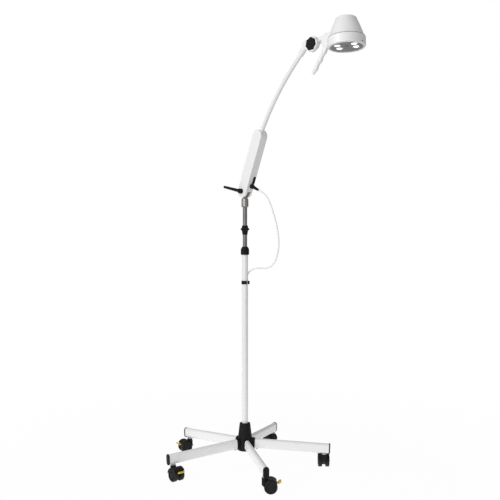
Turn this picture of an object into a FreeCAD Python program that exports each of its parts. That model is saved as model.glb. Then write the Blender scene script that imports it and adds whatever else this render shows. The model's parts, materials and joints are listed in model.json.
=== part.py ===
"""Examination lamp on a five-castor stand, with a telescopic mast and a curved arm.

The frame's origin is on the floor, on the column's axis, with +Z up and millimetres
throughout. Each sub-part is built in a simple frame of its own and then placed.
"""
import FreeCAD, Part
import math
import os
from FreeCAD import Vector

ORIGIN = Vector(0, 0, 0)
UP = Vector(0, 0, 1)
RIGHT = Vector(1, 0, 0)
BACK = Vector(0, 1, 0)

RUN = 0.06          # radial clearance of a turning or sliding fit
SEAT = 0.15         # clearance between pieces that only sit in each other
GAP = 0.3           # gap between faces that move past each other

# Legs: flat oval tubes that slope down from the hub to the castors.
LEG_COUNT = 5
FIRST_LEG = -76.7   # azimuth of the first leg, in degrees
LEG_WIDTH = 20.0
LEG_HEIGHT = 40.0
LEG_WALL = 1.5
LEG_SLOPE = 3.0     # degrees below level
LEG_INNER = 26.0    # distance of the tube's inner end from the column's axis
LEG_REACH = 345.0   # distance of the tube's outer end
LEG_END_HEIGHT = 80.0   # height of the tube's centre line at its outer end
CAP_THICK = 5.0
CAP_LIP = 1.5       # how far a cap stands proud of its tube
CAP_PLUG = 40.0     # length of the cap's plug inside the tube

# Hub
HUB_BOTTOM = 67.0
HUB_TOP = 179.0
HUB_BASE_RADIUS = 31.0
HUB_SHOULDER = 118.0
HUB_SHOULDER_RADIUS = 29.0
HUB_NECK_RADIUS = 22.0
SOCKET_REACH = 41.0
SOCKET_WALL = 3.0
SPIGOT_REACH = 64.0
HUB_FLOOR = 15.0    # thickness of hub under the column
BOLT_AT = 50.0      # leg bolt's distance from the column's axis
BOLT_RADIUS = 3.0
BOLT_LENGTH = 14.0
BOLT_HEAD_RADIUS = 5.0
BOLT_HEAD = 3.2

# Castors: twin wheels either side of a hood
WHEEL_RADIUS = 25.0
WHEEL_WIDTH = 15.5
WHEEL_GAP = 14.0    # between the two wheels
WHEEL_ROUND = 3.0
AXLE_RADIUS = 3.0
CASTOR_TRAIL = 22.0
CASTOR_INSET = 20.0 # swivel axis's distance from the leg's outer end
CASTOR_AT = LEG_REACH - CASTOR_INSET
CASTOR_TURNS = (0.0, 90.0, 130.0, -150.0, -50.0)   # azimuth each castor trails towards
HOOD_TOP = 57.0
HOOD_SHELL = 2.4
HOOD_BOSS_RADIUS = 11.0
HOOD_WEB_RADIUS = 16.0
FENDER_FROM = 38.0  # degrees above level behind the axle
FENDER_TO = 172.0
STEM_RADIUS = 4.0
STEM_BOTTOM = 34.0
STEM_FLANGE_RADIUS = 9.0
STEM_FLANGE = 3.0
STEM_SHANK_RADIUS = 5.5
STEM_SHANK = 24.0
PEDAL_PIVOT = (36.0, 36.0)     # forward of the swivel axis, and height
PEDAL_SHANK_WIDTH = 7.6
PEDAL_TAB_WIDTH = 24.0
PEDAL_TIP = 61.0
PEDAL_PIN_RADIUS = 2.0

# Column, collar and mast
COLUMN_RADIUS = 12.5
COLUMN_WALL = 1.5
COLUMN_TOP = 884.0
BUSH_LENGTH = 42.0
BUSH_LIP = 2.5
COLLAR_BOTTOM = COLUMN_TOP - 12.0
COLLAR_TOP = COLLAR_BOTTOM + 34.0
COLLAR_RADIUS = 17.0
MAST_RADIUS = 9.0
MAST_WALL = 1.5
MAST_BOTTOM = 440.0
FOOT_BUSH = 30.0
CLIP_HEIGHT = 758.0
CLIP_TALL = 14.0
CLIP_WALL = 1.9
CLIP_EYE_SLACK = 0.7  # the cord lies loosely in the eye
CLIP_EYE_WALL = 1.8
CLIP_OPEN = (-54.0, -22.0)     # azimuths between which the ring is open
STOP_BOTTOM = COLUMN_TOP + 71.0
STOP_LENGTH = 37.0
STOP_RADIUS = 10.6
NUT_BOTTOM = STOP_BOTTOM + 6.0
NUT_TOP = NUT_BOTTOM + 32.0
NUT_MIDDLE = NUT_BOTTOM + 17.0
NUT_RADIUS = 12.8
NUT_LOBE_RADIUS = 18.2
NUT_LOBES = 6

# Swivel between mast and arm
SOCKET_BOTTOM = COLUMN_TOP + 185.0
SOCKET_TOP = SOCKET_BOTTOM + 37.5
SWIVEL_RADIUS = 14.5
SWIVEL_ROUND = 6.5
SWIVEL_PIN_RADIUS = 5.5
SWIVEL_PIN = 14.0
MAST_SEAT = 19.0    # depth of the mast in the swivel socket
TONGUE_THICK = 10.0
TONGUE_WIDTH = 16.0
TONGUE_ROUND = 11.0
CONE_BASE_RADIUS = 7.3
CONE_TOP_RADIUS = 4.9
CONE_HEIGHT = 10.0
STUD_RADIUS = 4.0

# Arm: housing, curved tube and what the housing carries. The arm stands in a
# vertical plane; "side" is the level direction across that plane.
ARM_AZIMUTH = -50.0
PIVOT_HEIGHT = SOCKET_TOP + 28.0
ARM_TILT = 23.8     # housing's lean from upright
HOUSING_WIDTH = 53.0
HOUSING_CENTRES = 234.0        # between the centres of its two round ends
HOUSING_THICK = 37.0
HOUSING_WALL = 2.5
HOUSING_ROUND = 4.0
TONGUE_SLOT = 8.0   # half width of the slot for the swivel's tongue
SCREW_RADIUS = 2.0
SCREW_HEAD_RADIUS = 3.6
SCREW_PLACES = ((-17.0, 62.0), (17.0, 92.0), (-17.0, 205.0), (17.0, 205.0))
TUBE_RADIUS = 8.0
TUBE_WALL = 1.5
TUBE_LEAN = 30.6    # tube's lean where it leaves the housing
TUBE_END_LEAN = 48.0
TUBE_BEND = 917.0
TUBE_STRAIGHT = 27.5
TUBE_INSIDE = 22.0
TUBE_LAST = 111.5    # straight length after the bend
DRIVER_SIZE = (22.0, 20.0, 92.0)
DRIVER_FROM = 100.0
LEVER_BOSS_RADIUS = 10.0
LEVER_BOSS = 13.0
LEVER_LENGTH = 80.0
LEVER_RISE = 15.0   # degrees above level
LEVER_SPLAY = 15.0  # degrees away from the housing
LEVER_ROOT_RADIUS = 7.0
LEVER_TIP_RADIUS = 5.2
SWITCH_AT = 57.0    # up the housing from the pivot
SWITCH_SIDE = 8.5
SWITCH_SIZE = (12.5, 30.0)
SWITCH_RIM = 1.6
SWITCH_DEPTH = 14.0
ROCKER_SIZE = (9.6, 26.0)
ROCKER_PROUD = 3.4
ROCKER_SWING = 1.2  # room at each of its ends, taken up as it rocks
GLAND_AT = 33.0
GLAND_SIDE = 3.0
GLAND_RADIUS = 10.0
GLAND_NUT = 15.0
RELIEF_LENGTH = 36.0
RELIEF_ROOT_RADIUS = 5.6
RELIEF_TIP_RADIUS = 4.1
GLAND_THREAD_RADIUS = 7.9
GLAND_THREAD = 9.0

# Friction joint that carries the head
JOINT_REACH = 400.0
JOINT_HEIGHT = PIVOT_HEIGHT + 515.5
JOINT_RADIUS = 28.0
JOINT_THICK = 15.0
JOINT_NEAR = -15.0  # side coordinate of the disc's outer face
SLEEVE_RADIUS = 11.0
SLEEVE_START = 53.0 # back from the tube's end along its axis
SLEEVE_CAP = 2.0    # thickness of the sleeve's closed end
EYE_RADIUS = 18.0
EYE_FAR = 12.0
KNOB_RADIUS = 24.0
KNOB_THICK = 6.5
KNOB_LOBES = 7
NECK_LOW = JOINT_HEIGHT + 4.0
NECK_HIGH = NECK_LOW + 15.5
NECK_WIDTH = 18.0

# Head: ring, cone shell, light engine and handle
HEAD_REACH = 560.5
HEAD_HEIGHT = JOINT_HEIGHT - 29.0
HEAD_LEAN = -1.8    # the outer side is raised
RING_RADIUS = 67.0
RING_HALF = 17.0
RING_WALL = 3.0
RING_LIP = 2.5
RING_ROUND = 4.0    # of the lower outer edge
SHELL_RADIUS = 62.5
SHELL_TOP_RADIUS = 37.0
SHELL_HEIGHT = 71.0
SHELL_WALL = 2.5
SHELL_BULGE = 1.0
SHELL_ROUND = 8.0
PLATE_SEEN = 58.0    # radius of the lens plate that the ring's lip leaves open
PLATE_THICK = 2.5
LENS_RING = 34.5
LENS_RADIUS = 16.0
LENS_AZIMUTHS = (60.0, 0.0, 180.0, 240.0)
LENS_BACK_RADIUS = 9.0
LENS_DEPTH = 8.0
BOARD_RADIUS = 54.0
BOARD_THICK = 1.6
SINK_BASE = 5.0
SINK_FIN = 22.0
SINK_FIN_THICK = 2.6
SINK_PITCH = 8.0
RING_SCREWS = (-30.0, 90.0, 210.0)
RING_SCREW_RADIUS = 1.3
HANDLE_TOP = (466.0, HEAD_HEIGHT + 13.0)
HANDLE_TIP = (394.0, HEAD_HEIGHT - 80.0)
HANDLE_RADIUS = 9.4     # at its top
HANDLE_TAPER = 2.0
HANDLE_WAVE = 0.8
HANDLE_WAVES = 3.5
HANDLE_RINGS = 22
BLOCK_LOW = HEAD_HEIGHT + 8.0  # underside of the bracket's block
BLOCK_BACK = 446.0  # how near the block comes to the joint

# Mains lead. Its free stretches are lists of (x, y, z) points chosen by hand; the loop
# starts at the gland, and passes to the drop at the eye of the column's clip.
CORD_RADIUS = 3.2
CORD_LOOP = ((71.7, -80.8, 1123), (88, -100.5, 1105), (102.5, -117.5, 1073), (115, -132, 1030),
             (126.5, -146.5, 984), (133.5, -155, 934), (131.5, -152, 886), (121, -136, 847),
             (104, -107, 824), (80, -66, 817), (56, -27, 818), (34.5, -6.3, 814), (19.9, 5.8, 804.5),
             (11, 13.2, 792), (6.7, 16.8, 776))
CORD_AT_CLIP = (6.0, 17.4, 758)
CORD_DROP = ((5.03, 18.23, 733), (3.9, 18.9, 688), (2.6, 19.9, 620), (1.4, 21.5, 545), (0.5, 23.7, 462),
             (-0.2, 27.2, 377), (-0.8, 32.6, 292), (-1.6, 41, 215), (-3, 56, 150), (-5.4, 79, 96),
             (-9.4, 111, 53), (-15.4, 147, 25), (-21.6, 183, 10.5))
HANK_X = -2.6
HANK_START = 262.0  # y where the hank's straight runs begin
HANK_STRAIGHT = 112.0
HANK_BEND = 19.5    # radius of the cord's middle at the inner turn's ends
HANK_LAYERS = 2
HANK_NEST = 2       # turns side by side in each layer
HANK_RAISE = 1.2    # the tie passes below the cord
HANK_STUB = 20.0    # straight length at each end of the hank, clear of its bends
HANK_LEAD = 30.0    # last run into the hank
CORD_TAIL = ((-22.5, 432, 10.3), (-9.5, 449, 8.6))
CORD_LAST = 18.0    # last run into the plug's bend relief
TIE_WIDTH = 14.0
TIE_THICK = 1.0
PLUG_START = 484.0  # y of the tip of the plug's bend relief
PLUG_LENGTH = 36.0
PLUG_WIDTH = 35.3
PLUG_THICK = 13.7
PLUG_RELIEF = 26.0
PIN_RADIUS = 2.0
PIN_LENGTH = 19.0
PIN_SPACING = 18.6

shapes = {}


def vec(point):
    return Vector(*point)


def turned(shape, axis, degrees, about=ORIGIN):
    copy = shape.copy()
    copy.rotate(about, axis, degrees)
    return copy


def shifted(shape, x, y, z):
    copy = shape.copy()
    copy.translate(Vector(x, y, z))
    return copy


def fused(*pieces):
    whole = pieces[0]
    if len(pieces) > 1:
        whole = whole.fuse(list(pieces[1:]))
    return whole.removeSplitter()


def rod(radius, length, base, axis=UP):
    return Part.makeCylinder(radius, length, vec(base), axis)


def outline(start, *steps):
    """A closed wire in the XZ plane: a step is a point, or an arc's middle and end."""
    edges = []
    here = start
    for step in steps + (start,):
        end = step[-2:]
        first, last = Vector(here[0], 0, here[1]), Vector(end[0], 0, end[1])
        if len(step) == 4:
            edges.append(Part.Arc(first, Vector(step[0], 0, step[1]), last).toShape())
        elif first.distanceToPoint(last) > 1e-6:
            edges.append(Part.LineSegment(first, last).toShape())
        here = end
    return Part.Wire(edges)


def spun(start, *steps):
    """A solid turned about Z from an outline of (radius, height) points."""
    return Part.Face(outline(start, *steps)).revolve(ORIGIN, UP, 360)


def slab(wire, low, high):
    """An outline in the XZ plane made solid between two side coordinates."""
    solid = Part.Face(wire).extrude(Vector(0, high - low, 0))
    return shifted(solid, 0, low, 0)


def oval(width, height, start, end):
    """A flat oval bar along X, on end, between two distances."""
    r, h = width / 2, height / 2 - width / 2
    corners = [Vector(start, y, z) for y, z in ((-r, -h), (-r, h), (r, h), (r, -h))]
    edges = [
        Part.LineSegment(corners[0], corners[1]).toShape(),
        Part.Arc(corners[1], Vector(start, 0, h + r), corners[2]).toShape(),
        Part.LineSegment(corners[2], corners[3]).toShape(),
        Part.Arc(corners[3], Vector(start, 0, -h - r), corners[0]).toShape(),
    ]
    return Part.Face(Part.Wire(edges)).extrude(Vector(end - start, 0, 0))


def rounded(solid, radius, choose):
    """Fillets the edges whose middle passes a test."""
    edges = [e for e in solid.Edges if choose(e.valueAt((e.FirstParameter + e.LastParameter) / 2))]
    return solid.makeFillet(radius, edges)


def radial(shape, azimuth):
    return turned(shape, UP, azimuth)


# ---------------------------------------------------------------- stand

LEG_AZIMUTHS = [FIRST_LEG + 360.0 / LEG_COUNT * k for k in range(LEG_COUNT)]
LEG_AXIS_HEIGHT = LEG_END_HEIGHT + LEG_REACH * math.tan(math.radians(LEG_SLOPE))
SPIGOT_WIDTH = LEG_WIDTH - 2 * (LEG_WALL + SEAT)
SPIGOT_HEIGHT = LEG_HEIGHT - 2 * (LEG_WALL + SEAT)


def sloped(shape):
    """From the leg's own level frame to its slope."""
    return shifted(turned(shape, BACK, LEG_SLOPE), 0, 0, LEG_AXIS_HEIGHT)


def leg_underside():
    """Height of a leg's bottom face above the castor's swivel axis."""
    rise = (LEG_REACH - CASTOR_AT) * math.tan(math.radians(LEG_SLOPE))
    return LEG_END_HEIGHT + rise - LEG_HEIGHT / 2


def stem_seat():
    return HOOD_TOP + GAP + STEM_FLANGE


def leg_tube():
    tube = oval(LEG_WIDTH, LEG_HEIGHT, LEG_INNER, LEG_REACH)
    tube = tube.cut(oval(LEG_WIDTH - 2 * LEG_WALL, LEG_HEIGHT - 2 * LEG_WALL,
                         LEG_INNER - 1, LEG_REACH + 1))
    bolt_hole = rod(BOLT_RADIUS + SEAT, LEG_HEIGHT / 2, (BOLT_AT, 0, -LEG_HEIGHT / 2 - 1))
    tube = sloped(tube.cut(bolt_hole))
    return tube.cut(rod(STEM_SHANK_RADIUS + SEAT, STEM_SHANK, (CASTOR_AT, 0, leg_underside() - 5)))


def leg_end_cap():
    plate = oval(LEG_WIDTH + 2 * CAP_LIP, LEG_HEIGHT + 2 * CAP_LIP, LEG_REACH, LEG_REACH + CAP_THICK)
    plate = rounded(plate, 1.5, lambda p: abs(p.x - LEG_REACH - CAP_THICK) < 0.01)
    plug = oval(SPIGOT_WIDTH, SPIGOT_HEIGHT, LEG_REACH - CAP_PLUG, LEG_REACH)
    cap = sloped(fused(plate, plug))
    return cap.cut(rod(STEM_SHANK_RADIUS + RUN / 2, STEM_SHANK + 4, (CASTOR_AT, 0, leg_underside() - 3)))


def leg_bolt():
    head = rod(BOLT_HEAD_RADIUS, BOLT_HEAD, (BOLT_AT, 0, -LEG_HEIGHT / 2 - BOLT_HEAD))
    head = rounded(head, 1.2, lambda p: p.z < -LEG_HEIGHT / 2 - BOLT_HEAD + 0.01)
    shank = rod(BOLT_RADIUS, BOLT_LENGTH, (BOLT_AT, 0, -LEG_HEIGHT / 2))
    return sloped(fused(head, shank))


def castor_stem():
    pin = rod(STEM_RADIUS, HOOD_TOP + GAP - STEM_BOTTOM, (CASTOR_AT, 0, STEM_BOTTOM))
    flange = rod(STEM_FLANGE_RADIUS, STEM_FLANGE, (CASTOR_AT, 0, HOOD_TOP + GAP))
    shank = rod(STEM_SHANK_RADIUS, STEM_SHANK, (CASTOR_AT, 0, stem_seat()))
    return fused(pin, flange, shank)


def base_hub():
    cone = spun((0, HUB_BOTTOM), (HUB_BASE_RADIUS - 3, HUB_BOTTOM), (HUB_BASE_RADIUS, HUB_BOTTOM + 4),
                (HUB_SHOULDER_RADIUS, HUB_SHOULDER), (HUB_NECK_RADIUS, HUB_TOP - 3),
                (HUB_NECK_RADIUS - 0.7, HUB_TOP - 0.8, HUB_NECK_RADIUS - 3, HUB_TOP), (0, HUB_TOP))
    sockets, slots, spigots, threads = [], [], [], []
    for azimuth in LEG_AZIMUTHS:
        outer = oval(LEG_WIDTH + 2 * SOCKET_WALL, LEG_HEIGHT + 2 * SOCKET_WALL, 12, SOCKET_REACH)
        outer = rounded(outer, 1.5, lambda p: p.x > SOCKET_REACH - 0.01)
        sockets.append(radial(sloped(outer), azimuth))
        slot = oval(LEG_WIDTH + 2 * SEAT, LEG_HEIGHT + 2 * SEAT, LEG_INNER - SEAT, SPIGOT_REACH)
        slots.append(radial(sloped(slot), azimuth))
        spigot = oval(SPIGOT_WIDTH, SPIGOT_HEIGHT, LEG_INNER - 4, SPIGOT_REACH)
        spigots.append(radial(sloped(spigot), azimuth))
        thread = rod(BOLT_RADIUS + RUN / 2, BOLT_LENGTH + 4, (BOLT_AT, 0, -LEG_HEIGHT / 2 - 2))
        threads.append(radial(sloped(thread), azimuth))
    hub = cone.fuse(sockets).cut(Part.makeCompound(slots)).fuse(spigots)
    hub = hub.cut(Part.makeCompound(threads))
    bore = rod(COLUMN_RADIUS + SEAT, HUB_TOP, (0, 0, HUB_BOTTOM + HUB_FLOOR - SEAT))
    return hub.cut(bore).removeSplitter()


def castor_hood():
    """The hood in the castor's own frame: swivel axis on Z, axle behind it along Y."""
    axle = (CASTOR_TRAIL, WHEEL_RADIUS)
    half = WHEEL_GAP / 2 - 0.5
    outside = WHEEL_GAP / 2 + WHEEL_WIDTH
    shell_inner = WHEEL_RADIUS + 1.2
    shell_outer = shell_inner + HOOD_SHELL

    def around(radius, degrees):
        angle = math.radians(degrees)
        return (axle[0] + radius * math.cos(angle), axle[1] + radius * math.sin(angle))

    middle = (FENDER_FROM + FENDER_TO) / 2
    arc_out = around(shell_outer, middle) + around(shell_outer, FENDER_TO)
    arc_in = around(shell_inner, middle) + around(shell_inner, FENDER_FROM)
    fender = slab(outline(around(shell_outer, FENDER_FROM), arc_out, around(shell_inner, FENDER_TO),
                          arc_in), -outside, outside)
    disc = rod(HOOD_WEB_RADIUS, 2 * half, (axle[0], -half, axle[1]), BACK)
    web = slab(outline((-HOOD_BOSS_RADIUS, 30), (-HOOD_BOSS_RADIUS, 50), (4, 52),
                       around(shell_inner + 1, middle) + around(shell_inner + 1, FENDER_FROM),
                       (PEDAL_PIVOT[0] + 4, PEDAL_PIVOT[1] - 6), (axle[0], axle[1] - 4), (2, 18)),
               -half, half)
    boss = rod(HOOD_BOSS_RADIUS, HOOD_TOP - 28, (0, 0, 28))
    boss = rounded(boss, 2.0, lambda p: p.z > HOOD_TOP - 0.01)
    wheel_room = rod(WHEEL_RADIUS + 1.2, 2 * outside, (axle[0], 0, axle[1]), BACK)
    wheel_room = fused(shifted(wheel_room, 0, half, 0),
                       shifted(wheel_room, 0, -half - 2 * outside, 0))
    hood = fused(web, disc, boss.cut(wheel_room), fender)
    hood = hood.cut(rod(STEM_RADIUS + RUN, HOOD_TOP, (0, 0, STEM_BOTTOM - GAP)))
    hood = hood.cut(rod(AXLE_RADIUS + RUN, 2 * outside, (axle[0], -outside, axle[1]), BACK))
    pedal_room = slab(outline((PEDAL_PIVOT[0] - 7.5, PEDAL_PIVOT[1] - 8), (PEDAL_TIP, PEDAL_PIVOT[1] - 14),
                              (PEDAL_TIP, PEDAL_PIVOT[1] + 6), (PEDAL_PIVOT[0] - 7.5, PEDAL_PIVOT[1] + 4.5)),
                      -PEDAL_SHANK_WIDTH / 2 - 0.5, PEDAL_SHANK_WIDTH / 2 + 0.5)
    pin_hole = rod(PEDAL_PIN_RADIUS + RUN, 2 * half + 2, (PEDAL_PIVOT[0], -half - 1, PEDAL_PIVOT[1]), BACK)
    return hood.cut(pedal_room).cut(pin_hole).removeSplitter()


def castor_wheels():
    """Two wheels and the axle they are pressed on, as three solids."""
    r, w, e = WHEEL_RADIUS, WHEEL_WIDTH, WHEEL_ROUND
    side = 0.3 * e
    wheel = spun((AXLE_RADIUS + 0.02, 0), (r - e, 0), (r - side, side, r, e), (r, w - e),
                 (r - side, w - side, r - e, w), (r - 5, w), (r - 7, w - 1.6), (9, w - 1.6), (8, w),
                 (AXLE_RADIUS + 0.02, w))
    outer = turned(wheel, RIGHT, -90)
    wheels = [shifted(outer, 0, WHEEL_GAP / 2, 0), turned(shifted(outer, 0, WHEEL_GAP / 2, 0), UP, 180)]
    length = WHEEL_GAP + 2 * WHEEL_WIDTH - 3
    axle = rod(AXLE_RADIUS, length, (0, -length / 2, 0), BACK)
    return shifted(Part.makeCompound(wheels + [axle]), CASTOR_TRAIL, 0, WHEEL_RADIUS)


def castor_pedal():
    x, z = PEDAL_PIVOT
    half = PEDAL_SHANK_WIDTH / 2
    shank = slab(outline((x - 4, z - 3), (x + 14, z - 1), (x + 15, z + 4.5), (x + 2, z + 3.2),
                         (x - 4, z + 2.5)),
                 -half, half)
    tab = slab(outline((x + 13.5, z - 1.5), (PEDAL_TIP - 2.5, z + 3.5),
                       (PEDAL_TIP, z + 5, PEDAL_TIP - 1.5, z + 9),
                       (PEDAL_TIP - 5, z + 8.5), (x + 13.5, z + 4.5)),
               -PEDAL_TAB_WIDTH / 2, PEDAL_TAB_WIDTH / 2)
    web = WHEEL_GAP / 2 - 0.7
    pin = rod(PEDAL_PIN_RADIUS, 2 * web, (x, -web, z), BACK)
    return fused(shank, tab, pin)


def place_castor(shape, number):
    placed = shifted(turned(shape, UP, CASTOR_TURNS[number] - LEG_AZIMUTHS[number]), CASTOR_AT, 0, 0)
    return radial(placed, LEG_AZIMUTHS[number])


def stand():
    for number, azimuth in enumerate(LEG_AZIMUTHS):
        name = str(number + 1)
        shapes["leg_" + name] = radial(leg_tube(), azimuth)
        shapes["castor_" + name + "_hood"] = place_castor(castor_hood(), number)
        shapes["castor_" + name + "_wheels"] = place_castor(castor_wheels(), number)
        shapes["castor_" + name + "_pedal"] = place_castor(castor_pedal(), number)
    shapes["leg_end_caps"] = Part.makeCompound([radial(leg_end_cap(), a) for a in LEG_AZIMUTHS])
    shapes["leg_bolts"] = Part.makeCompound([radial(leg_bolt(), a) for a in LEG_AZIMUTHS])
    shapes["castor_stems"] = Part.makeCompound([radial(castor_stem(), a) for a in LEG_AZIMUTHS])
    shapes["base_hub"] = base_hub()


# ---------------------------------------------------------------- column and mast

def column():
    bore = COLUMN_RADIUS - COLUMN_WALL
    foot = HUB_BOTTOM + HUB_FLOOR
    tube = rod(COLUMN_RADIUS, COLUMN_TOP - foot, (0, 0, foot))
    shapes["column_tube"] = tube.cut(rod(bore, COLUMN_TOP, (0, 0, foot - 1)))
    shapes["column_bush"] = spun((MAST_RADIUS + RUN, COLUMN_TOP - BUSH_LENGTH),
                                 (bore - 0.04, COLUMN_TOP - BUSH_LENGTH),
                                 (bore - 0.04, COLUMN_TOP), (COLUMN_RADIUS - 0.3, COLUMN_TOP),
                                 (COLUMN_RADIUS - 0.3, COLUMN_TOP + BUSH_LIP),
                                 (MAST_RADIUS + RUN, COLUMN_TOP + BUSH_LIP))
    ledge = COLUMN_TOP + BUSH_LIP + GAP
    inner, wide = MAST_RADIUS + 4 * RUN, COLUMN_RADIUS + RUN
    r, low, high = COLLAR_RADIUS, COLLAR_BOTTOM, COLLAR_TOP
    shapes["lock_collar"] = spun((wide, low), (r - 3, low), (r - 0.9, low + 0.9, r, low + 3), (r, high - 12),
                                 (r - 0.9, high - 8.5, r - 2.5, high - 6), (r - 5, high - 1.5),
                                 (r - 5.6, high - 0.4, r - 6.8, high),
                                 (inner, high), (inner, ledge), (wide, ledge))


def cable_clip():
    inner = COLUMN_RADIUS + 0.04
    outer = inner + CLIP_WALL
    low = CLIP_HEIGHT - CLIP_TALL / 2
    ring = rod(outer, CLIP_TALL, (0, 0, low)).cut(rod(inner, CLIP_TALL + 2, (0, 0, low - 1)))
    start, end = CLIP_OPEN
    opening = Part.makeCylinder(2 * outer, CLIP_TALL + 2, Vector(0, 0, low - 1), UP, end - start)
    ring = ring.cut(turned(opening, UP, start))
    angle = math.radians(end)
    hook = rod(3.4, CLIP_TALL, (0, 0, low))
    hook = shifted(hook, (outer + 2.6) * math.cos(angle), (outer + 2.6) * math.sin(angle), 0)
    hook = hook.cut(rod(inner, CLIP_TALL + 2, (0, 0, low - 1)))
    eye_x, eye_y, _ = CORD_AT_CLIP
    eye_radius = CORD_RADIUS + CLIP_EYE_SLACK
    eye = rod(eye_radius + CLIP_EYE_WALL, CLIP_TALL, (eye_x, eye_y, low))
    clip = fused(ring, hook, eye.cut(rod(inner, CLIP_TALL + 2, (0, 0, low - 1))))
    return clip.cut(rod(eye_radius, CLIP_TALL + 2, (eye_x, eye_y, low - 1)))


def mast():
    bore = MAST_RADIUS - MAST_WALL
    top = SOCKET_BOTTOM + MAST_SEAT
    tube = rod(MAST_RADIUS, top - MAST_BOTTOM, (0, 0, MAST_BOTTOM))
    shapes["mast_tube"] = tube.cut(rod(bore, top, (0, 0, MAST_BOTTOM - 1)))
    slide = COLUMN_RADIUS - COLUMN_WALL - 2 * RUN
    low = MAST_BOTTOM - 4
    shapes["mast_foot_bush"] = spun((bore, low), (slide, low), (slide, low + FOOT_BUSH),
                                    (MAST_RADIUS + 0.02, low + FOOT_BUSH),
                                    (MAST_RADIUS + 0.02, MAST_BOTTOM), (bore, MAST_BOTTOM))
    r, e = SWIVEL_RADIUS, SWIVEL_ROUND
    low, high, c = SOCKET_BOTTOM, SOCKET_TOP, 0.293 * SWIVEL_ROUND
    pin = SWIVEL_PIN_RADIUS + RUN
    shapes["swivel_socket"] = spun((MAST_RADIUS + 0.02, low), (r - 3.5, low),
                                   (r - 1.0, low + 1.0, r, low + 3.5),
                                   (r, high - e), (r - c, high - c, r - e, high), (pin, high),
                                   (pin, high - SWIVEL_PIN - GAP), (0, high - SWIVEL_PIN - GAP),
                                   (0, low + MAST_SEAT), (MAST_RADIUS + 0.02, low + MAST_SEAT))
    shapes["stop_sleeve"] = spun((MAST_RADIUS + RUN, STOP_BOTTOM), (STOP_RADIUS - 0.6, STOP_BOTTOM),
                                 (STOP_RADIUS, STOP_BOTTOM + 0.6), (STOP_RADIUS, STOP_BOTTOM + STOP_LENGTH),
                                 (MAST_RADIUS + RUN, STOP_BOTTOM + STOP_LENGTH))
    shapes["stop_nut"] = stop_nut()


def stop_nut():
    bore = STOP_RADIUS + RUN
    body = spun((bore, NUT_BOTTOM), (NUT_RADIUS - 1.5, NUT_BOTTOM), (NUT_RADIUS, NUT_MIDDLE - 8),
                (NUT_RADIUS, NUT_TOP - 6),
                (NUT_RADIUS - 0.5, NUT_TOP - 1.6, NUT_RADIUS - 2.1, NUT_TOP), (bore, NUT_TOP))
    lobes = []
    for number in range(NUT_LOBES):
        lobe = Part.makeCone(NUT_LOBE_RADIUS - NUT_RADIUS + 2.2, 1.4, NUT_LOBE_RADIUS - NUT_RADIUS + 1.0,
                             Vector(NUT_RADIUS - 1.0, 0, NUT_MIDDLE), RIGHT)
        lobes.append(turned(lobe, UP, 360.0 / NUT_LOBES * number))
    nut = body.fuse(lobes)
    return nut.cut(rod(bore, NUT_TOP, (0, 0, NUT_BOTTOM - 1))).removeSplitter()


def swivel_yoke():
    """The pin that turns in the socket, and the tongue that the housing tilts on."""
    low = SOCKET_TOP - SWIVEL_PIN
    pin = rod(SWIVEL_PIN_RADIUS, SWIVEL_PIN + GAP, (0, 0, low))
    cone = Part.makeCone(CONE_BASE_RADIUS, CONE_TOP_RADIUS, CONE_HEIGHT, Vector(0, 0, SOCKET_TOP + GAP), UP)
    foot = SOCKET_TOP + GAP + CONE_HEIGHT - 3
    half = TONGUE_WIDTH / 2
    blade = slab(outline((-CONE_TOP_RADIUS, foot), (CONE_TOP_RADIUS, foot), (half, foot + 7),
                         (half, PIVOT_HEIGHT),
                         (-half, PIVOT_HEIGHT), (-half, foot + 7)), -TONGUE_THICK / 2, TONGUE_THICK / 2)
    eye = rod(TONGUE_ROUND, TONGUE_THICK, (0, -TONGUE_THICK / 2, PIVOT_HEIGHT), BACK)
    yoke = fused(pin, cone, blade, eye)
    yoke = yoke.cut(rod(STUD_RADIUS + RUN, 40, (0, -20, PIVOT_HEIGHT), BACK))
    return in_arm_plane(yoke)


# ---------------------------------------------------------------- arm

def in_arm_plane(shape):
    return radial(shape, ARM_AZIMUTH)


def on_housing(shape):
    """From the housing's own upright frame, with its pivot at the origin, to its place."""
    return in_arm_plane(shifted(turned(shape, BACK, ARM_TILT), 0, 0, PIVOT_HEIGHT))


def stadium(inset):
    r, top = HOUSING_WIDTH / 2 - inset, HOUSING_CENTRES
    return outline((-r, 0), (-r, top), (0, top + r, r, top), (r, 0), (0, -r, -r, 0))


def tube_start():
    """Point and direction of the arm tube's axis inside the housing's upper end."""
    lean = math.radians(ARM_TILT)
    return (HOUSING_CENTRES * math.sin(lean), PIVOT_HEIGHT + HOUSING_CENTRES * math.cos(lean))


def tube_axis():
    """The tube's axis in the arm's plane: a straight, a bend and a straight."""
    a, b = math.radians(TUBE_LEAN), math.radians(TUBE_END_LEAN)
    s, z = tube_start()

    def go(point, lean, length):
        return (point[0] + length * math.sin(lean), point[1] + length * math.cos(lean))

    def bend(point, start, end):
        return (point[0] + TUBE_BEND * (math.cos(start) - math.cos(end)),
                point[1] + TUBE_BEND * (math.sin(end) - math.sin(start)))

    foot = go((s, z), a, -TUBE_INSIDE)
    first = go((s, z), a, TUBE_STRAIGHT)
    middle = bend(first, a, (a + b) / 2)
    last = bend(first, a, b)
    return foot, first, middle, last, go(last, b, TUBE_LAST)


def in_plane(point):
    return Vector(point[0], 0, point[1])


def swept(radius, wire):
    start = wire.Edges[0].valueAt(wire.Edges[0].FirstParameter)
    tangent = wire.Edges[0].tangentAt(wire.Edges[0].FirstParameter)
    circle = Part.Wire(Part.makeCircle(radius, start, tangent))
    return wire.makePipeShell([circle], True, True)


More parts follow.
